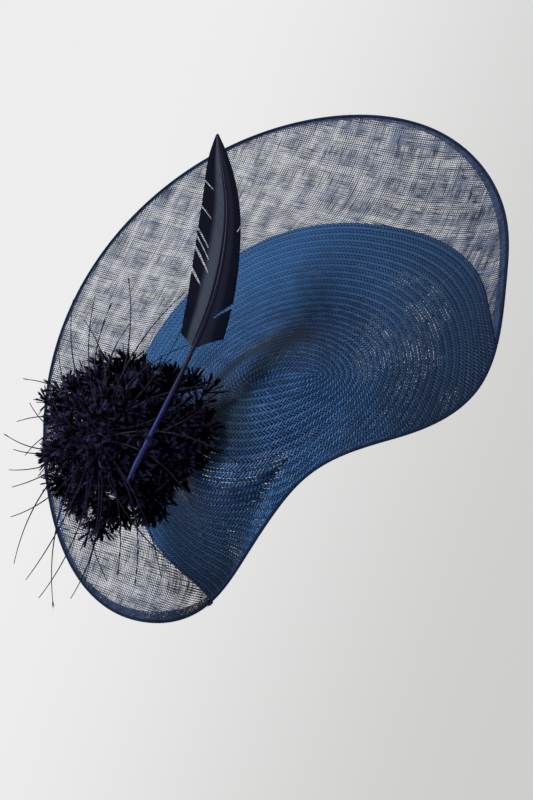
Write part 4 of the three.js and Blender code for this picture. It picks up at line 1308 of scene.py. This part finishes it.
# A cut-off quill stands from the pad to the shaft, bound with thread: rings of thread side by side up it,
# and a lashing round post and shaft at the top
def featherPost(finish):
    path, along, out, up, _ = featherRun(300)
    k = round(post["share"] * (len(path) - 1))
    head = path[k]
    foot = onPad(math.radians(post["turn"]), post["reach"])
    stem = np.linspace(foot, head, 14)
    way, side, rise = carriedFrames(stem, clusterUp)
    parts = [sweep(stem, side, rise, ringSection(post["radius"], 12))]
    for j in range(post["wraps"]):
        centre = foot + (head - foot) * (0.06 + 0.88 * j / (post["wraps"] - 1))
        parts.append(threadRing(centre, post["radius"] + 0.15, side[0], rise[0], way[0], 0.3))
    girth = feather["butt"] + (feather["tip"] - feather["butt"]) * post["share"] + 0.35
    for j in range(4):
        centre = path[k] + along[k] * (j - 1.5) * post["tieRadius"] * 1.5
        parts.append(threadRing(centre, girth, out[k], up[k], along[k], post["tieRadius"] * 0.7))
    points, faces = tubeParts(parts)
    piece = buildMesh("featherPost", points * mm, faces, finish)
    return settle(piece, "hat", ["feather_post"])


# Curled strip on the lower lobe
curl = {"at": (139, 142, 147), "arc": (344, 356, 360), "radius": 1.3, "lift": 0.8,
        "steps": 60, "halfWide": 1.9, "halfThick": 0.55}


# A narrow strip of dyed quill that lies along the cloth in a bow; its section is a flat lens that tapers at
# both ends
def curledQuill(finish):
    steps = curl["steps"]
    at = curveThrough(np.array([curl["at"], curl["arc"], (0, 0, 0)], float).T, steps)
    share = shareAtArc(at[:, 0], at[:, 1:2])[:, 0]
    point, _, normal = blockFace(at[:, 0], share)
    path = worn(point + normal * (curl["radius"] + curl["lift"]))
    up = wornWay(normal)
    along = unit(np.gradient(path, axis=0))
    out = unit(np.cross(up, along))
    turn = roundTurns(12)
    section = np.stack([curl["halfWide"] * np.cos(turn), curl["halfThick"] * np.sin(turn)], -1)
    scale = np.clip(np.minimum(np.linspace(0, 6, steps), np.linspace(9, 0.25, steps)), 0.25, 1) * mm
    points, faces = sweep(path, out, np.cross(along, out), section, scale)
    run = np.linspace(0, 1, steps)[:, None] * np.ones(3)
    uv = tapeMap(faces, len(section), run, around=1.0)
    piece = buildMesh("curledQuill", points, faces, finish, {"tape": uv})
    return settle(piece, "hat", ["curled_quill"])


def curlFinish():
    tones = ((0.012, 0.045, 0.150), (0.035, 0.120, 0.330))
    return mottledFinish("curledStrip", tones, (160, 3), (0.35, 0.65), (160, 3), (0.22, 0.2), (0.1, 0.3),
                         specular=0.5, coat=0.3, coatRoughness=0.15)


# Base under the hat: a cap on the head's sphere, its binding and its ribbon
base = {
    "headRadius": 90, "thickness": 2.5, "rimRadius": 62, "widthRatio": 0.85, "wall": 0.8, "rise": 6,
    "gap": 0.3, "wire": 0.6, "ribbonThickness": 0.8, "ribbonWidth": 15, "round": 144,
}


# Turns from the apex: the cap's rim, the binding's end past the wire, and its lip
def baseTurns():
    rim = math.asin(base["rimRadius"] / base["headRadius"])
    wire = rim + (base["gap"] * 2 + base["wire"]) / base["headRadius"]
    end = wire + (base["gap"] * 2 + base["wire"]) / base["headRadius"]
    lip = rim - base["rise"] / base["headRadius"]
    return rim, end, lip


# A profile of (radius, turn from the apex) pairs on the head's sphere, spun round and narrowed from side to
# side. Its map is the distance round and the distance along the profile, in millimetres.
def spunShell(name, profile, finish, node, wave=0.0, waves=0):
    turn = np.linspace(0, 2 * np.pi, base["round"] + 1)
    radius, lie = np.array(profile, float).T
    ripple = 1 + wave / base["headRadius"] * np.sin(waves * turn)
    reach = radius[None] * np.sin(lie)[None] * ripple[:, None]
    height = radius * np.cos(lie) - base["headRadius"]
    points = np.stack([reach * np.cos(turn)[:, None], reach * np.sin(turn)[:, None] * base["widthRatio"],
                       np.broadcast_to(height, reach.shape)], -1)
    span = np.hypot(np.diff(radius * np.sin(lie)), np.diff(height))
    run = np.concatenate([[0], np.cumsum(span)])
    faces = gridFaces(len(turn), len(profile))
    grid = np.stack(np.broadcast_arrays(turn[:, None] * base["rimRadius"], run[None]), -1)
    uvs = {"tape": cornerValues(faces, grid)}
    piece = buildMesh(name, points @ hatTurn.T * mm, faces, finish, uvs, merge=True)
    return settle(piece, "hat", [node])


# The cap is a shell with a rounded rim, the binding a folded tape over it, the ribbon a band inside
def baseShells(clothFinish, tapeFinish, ribbonFinish):
    rim, end, lip = baseTurns()
    inside, outside = base["headRadius"], base["headRadius"] + base["thickness"]
    over = np.linspace(0, rim - 0.008, 30)
    middle = (inside + outside) / 2
    cap = [(outside, t) for t in over]
    cap += [(middle + 1.0, rim - 0.002), (middle, rim), (middle - 1.0, rim - 0.002)]
    cap += [(inside, t) for t in over[::-1]]
    spunShell("baseCap", cap, clothFinish, "base_cap")
    outer, inner = outside + base["gap"] + base["wall"], inside - base["gap"] - base["wall"]
    fold = np.radians(np.linspace(-90, 90, 9))
    half, endFold = (outer - inner) / 2, end - 0.004
    tape = [(outer - 0.7, lip + 0.001), (outer - 0.15, lip + 0.004), (outer, lip + 0.012)]
    tape += [(outer, endFold - 0.012)]
    tape += [(middle - half * math.sin(f), endFold - 0.010 + 0.020 * math.cos(f)) for f in fold]
    tape += [(inner, endFold - 0.012), (inner, lip + 0.012)]
    tape += [(inner + 0.15, lip + 0.004), (inner + 0.7, lip + 0.001)]
    tape += [(inner + 0.75, lip + 0.012), (inner + 0.75, end - 0.016), (outer - 0.75, end - 0.016),
             (outer - 0.75, lip + 0.012), (outer - 0.7, lip + 0.001)]
    spunShell("baseBinding", tape, tapeFinish, "base_binding")
    stop = lip - base["gap"] / base["headRadius"]
    start = stop - base["ribbonWidth"] / base["headRadius"]
    face, back = inside - base["gap"], inside - base["gap"] - base["ribbonThickness"]
    across = np.linspace(start + 0.004, stop - 0.004, 8)
    ribbon = [(face, t) for t in across] + [(face - 0.2, stop - 0.001), (back + 0.2, stop - 0.001)]
    ribbon += [(back, t) for t in across[::-1]]
    ribbon += [(back + 0.2, start + 0.001), (face - 0.2, start + 0.001), (face, across[0])]
    piece = spunShell("petershamRibbon", ribbon, ribbonFinish, "petersham_ribbon",
                      wave=0.12, waves=96)


# Buckram is woven plain, so its ribs run both ways
def baseFinish():
    tones = ((0.008, 0.012, 0.028), (0.020, 0.028, 0.055), (0.030, 0.040, 0.072))
    return wovenFinish("buckramCloth", tones, (35, 3), plainWeave, (0.2, 0.9), (0.25, 0.6),
                       roughness=0.82, specular=0.2, sheen=0.15, sheenRoughness=0.6)


# Petersham has cross ribs
def ribbonFinish():
    tones = ((0.010, 0.015, 0.038), (0.022, 0.032, 0.070), (0.038, 0.052, 0.105))
    return wovenFinish("petersham", tones, (45, 2), crossRibs, (0.1, 1.0), (0.3, 0.7),
                       roughness=0.6, specular=0.3, sheen=0.3, sheenRoughness=0.4)


# Hair comb and its stitches
comb = {
    "length": 44, "spine": 1.4, "teeth": 12, "tooth": 0.6, "toothLength": 34, "bow": -0.15,
    "centreY": -27,
    "stitch": 0.4, "stitchGaps": (-4, 0, 4), "strand": 0.22, "wind": 0.18, "twist": 2.2,
}
combPitch = (comb["length"] - 4 * comb["tooth"]) / (comb["teeth"] - 1)


# Height of the cap's inner face over a place on its plan, below its apex
def roofOver(x, y):
    across = np.hypot(x, y / base["widthRatio"])
    return np.sqrt(base["headRadius"] ** 2 - across**2) - base["headRadius"]


# The spine hangs just clear of the cap where its ends come closest to it
combHeight = roofOver(comb["length"] / 2, comb["centreY"]) - base["gap"] - comb["spine"]


# The spine is a rod with rounded ends; each tooth runs from it towards the back, bows a little and tapers
# to a rounded tip
def hairComb(finish):
    centre = np.array([0, comb["centreY"], combHeight])
    x = comb["length"] / 2 * np.sin(np.linspace(-np.pi / 2, np.pi / 2, 41))
    past = ((np.abs(x) - comb["length"] / 2 + comb["spine"]) / comb["spine"]).clip(0)
    ends = np.sqrt(np.clip(1 - past**2, 0.02, 1))
    line = centre + np.stack([x, 0 * x, 0 * x], -1)
    _, out, up = carriedFrames(line, (0, 1.0, 0))
    parts = [sweep(line, out, up, ringSection(comb["spine"], 16), ends)]
    t = np.linspace(0, 1, 22)
    for k in range(comb["teeth"]):
        offset = (k - (comb["teeth"] - 1) / 2) * combPitch
        bow = comb["bow"] * np.sin(np.pi * t)
        tooth = centre + np.stack([offset + 0 * t, comb["toothLength"] * t, bow], -1)
        _, out, up = carriedFrames(tooth, (1.0, 0, 0))
        taper = np.sqrt(np.clip(1 - ((t - 0.97) / 0.03).clip(0) ** 2, 0.03, 1)) * (1 - 0.2 * t)
        parts.append(sweep(tooth, out, up, ringSection(comb["tooth"], 10), taper))
    points, faces = tubeParts(parts)
    piece = buildMesh("hairComb", points @ hatTurn.T * mm, faces, finish)
    return settle(piece, "comb", ["hair_comb"])


def combFinish():
    return mottledFinish("combResin", ((0.006, 0.007, 0.014), (0.028, 0.024, 0.034)), (70, 3), (0.35, 0.7),
                         (420, 2), (0.18, 0.25), (0.05, 0.2), specular=0.5, coat=0.2, coatRoughness=0.15)


# Three loops of twisted thread hold the comb's spine to the cap: each is a half round under the spine with
# a leg up to the cap on both sides, wound of two strands
def combStitches(finish):
    spread = comb["spine"] + base["gap"] + comb["stitch"]
    turn = np.radians(np.linspace(180, 360, 25))
    for k, gaps in enumerate(comb["stitchGaps"]):
        feet = comb["centreY"] + np.array([-spread, spread])
        tops = roofOver(gaps * combPitch, feet) - base["gap"] - comb["stitch"]
        legs = [np.linspace((feet[j], tops[j]), (feet[j], combHeight), 8)[:-1] for j in (0, 1)]
        bowl = np.stack([np.cos(turn), np.sin(turn)], -1) * spread + (comb["centreY"], combHeight)
        flat = np.vstack([legs[0], bowl, legs[1][::-1]])
        line = np.column_stack([np.full(len(flat), gaps * combPitch), flat])
        _, out, up = carriedFrames(line, (1.0, 0, 0))
        run = runAlong(line)
        parts = []
        for strand in (0, np.pi):
            twist = (run * comb["twist"] + strand)[:, None]
            wound = line + comb["wind"] * (np.cos(twist) * out + np.sin(twist) * up)
            parts.append(sweep(wound, out, up, ringSection(comb["strand"], 6)))
        points, faces = tubeParts(parts)
        piece = buildMesh(f"combStitch{k + 1}", points @ hatTurn.T * mm, faces, finish)
        settle(piece, "hat", [f"comb_stitch_{k + 1}"])


def threadFinish():
    return mottledFinish("waxedThread", ((0.003, 0.005, 0.022), (0.010, 0.016, 0.060)), (1400, 2), None,
                         (1400, 2), (0.45, 0.25), (0.08, 0.4), specular=0.1)


def feltFinish():
    finish = newFinish("padFelt", roughness=0.92, specular=0.15, sheen=0.4, sheenRoughness=0.6)
    place = objectPlace(finish)
    clump = noise(place, 260, 3)
    hair = noise(place, 1500, 2)
    colour = mixColours(clump, (0.005, 0.006, 0.014), (0.016, 0.020, 0.042))
    height = clump + hair * 0.5
    return drive(finish, colour, height, 0.5, 0.7)


# Drawn wire with a faint lacquer: streaks along it and a little tarnish
def wireFinish(name, bright):
    return mottledFinish(name, (bright, tuple(x * 0.55 for x in bright)), (90, 3), (0.45, 0.7),
                         (900, 2), (0.24, 0.3), (0.03, 0.25), metallic=1.0, specular=0.5)


def makeFloor():
    turn = roundTurns(96)
    radius = np.array([0, 0.3, 0.6, 0.9, 1.0]) * view["floorRadius"] * mm
    points = np.stack([radius * np.cos(turn)[:, None], radius * np.sin(turn)[:, None],
                       np.full((len(turn), len(radius)), -view["floorDrop"] * mm)], -1)
    faces = gridFaces(len(turn), len(radius), closed=True)
    finish = mottledFinish("paleFloor", ((0.76, 0.76, 0.755), (0.82, 0.82, 0.815)), (300, 3), None,
                           (300, 3), (0.75, 0.15), (0.1, 0.15), specular=0.2)
    buildMesh("floor", points, faces, finish, merge=True)


makeCamera()
makeWorld()
for lampName, lamp in view["lamps"].items():
    softLamp(lampName, *lamp)
makeFloor()
print("stage ready: camera, lamps, world and floor")

tape = bindingFinish()
thread = threadFinish()
strawDish(strawFinish())
print("straw dish woven")

upperCloth = sinamayFinish("sinamayUpper", sinamay["turns"][0], 0.0)
upperPly, plyArea = sinamayPly("sinamayUpper", upperCloth, sinamay["depths"][0], "sinamay_upper_ply")
underCloth = sinamayFinish("sinamayUnder", sinamay["turns"][1], 0.4)
underPly, _ = sinamayPly("sinamayUnder", underCloth, sinamay["depths"][1], "sinamay_under_ply")
turnedHem = hemBand(sinamayFinish("sinamayHem", 30, 0.8, density=1.3, rimDensity=2.2, cornerDensity=0.8,
                                  tint=hem["tint"]))
cutArea = round(plyArea * 1.002, 4)
rolledEdge("brimBinding", brimStart, brimEnd, tape, "brim_binding")
rolledEdge("frontBinding", brimEnd + 0.1, brimStart + 360 - 0.1, tape, "front_binding")
threadKnot(thread)
print("brim stretched and bound")

baseShells(baseFinish(), tape, ribbonFinish())
hairComb(combFinish())
combStitches(thread)
print("base and comb made")

featherPad(feltFinish())
featherRosettes(rosetteFinish())
stripped = strippedFinish()
for where in ("upper", "outer", "lower"):
    strippedQuills(f"quills{where.capitalize()}", quillBunches[where], f"quill_bunch_{where}", stripped)
quillShaft(shaftFinish())
featherVane("vaneLeft", 1, feather["left"], vaneFinish("vaneLeft", 1.0), "vane_left")
featherVane("vaneRight", -1, feather["right"], vaneFinish("vaneRight", 0.15), "vane_right")
featherPost(thread)
curledQuill(curlFinish())
print("feathers made")

steel = wireFinish("drawnWire", (0.55, 0.56, 0.58))
brass = wireFinish("joinerTube", (0.72, 0.62, 0.40))
brimWire(steel, brass)
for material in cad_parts["base_wire"].material_slots:
    material.material = steel

bpy.context.scene.view_settings.view_transform = "Standard"
bpy.context.view_layer.update()
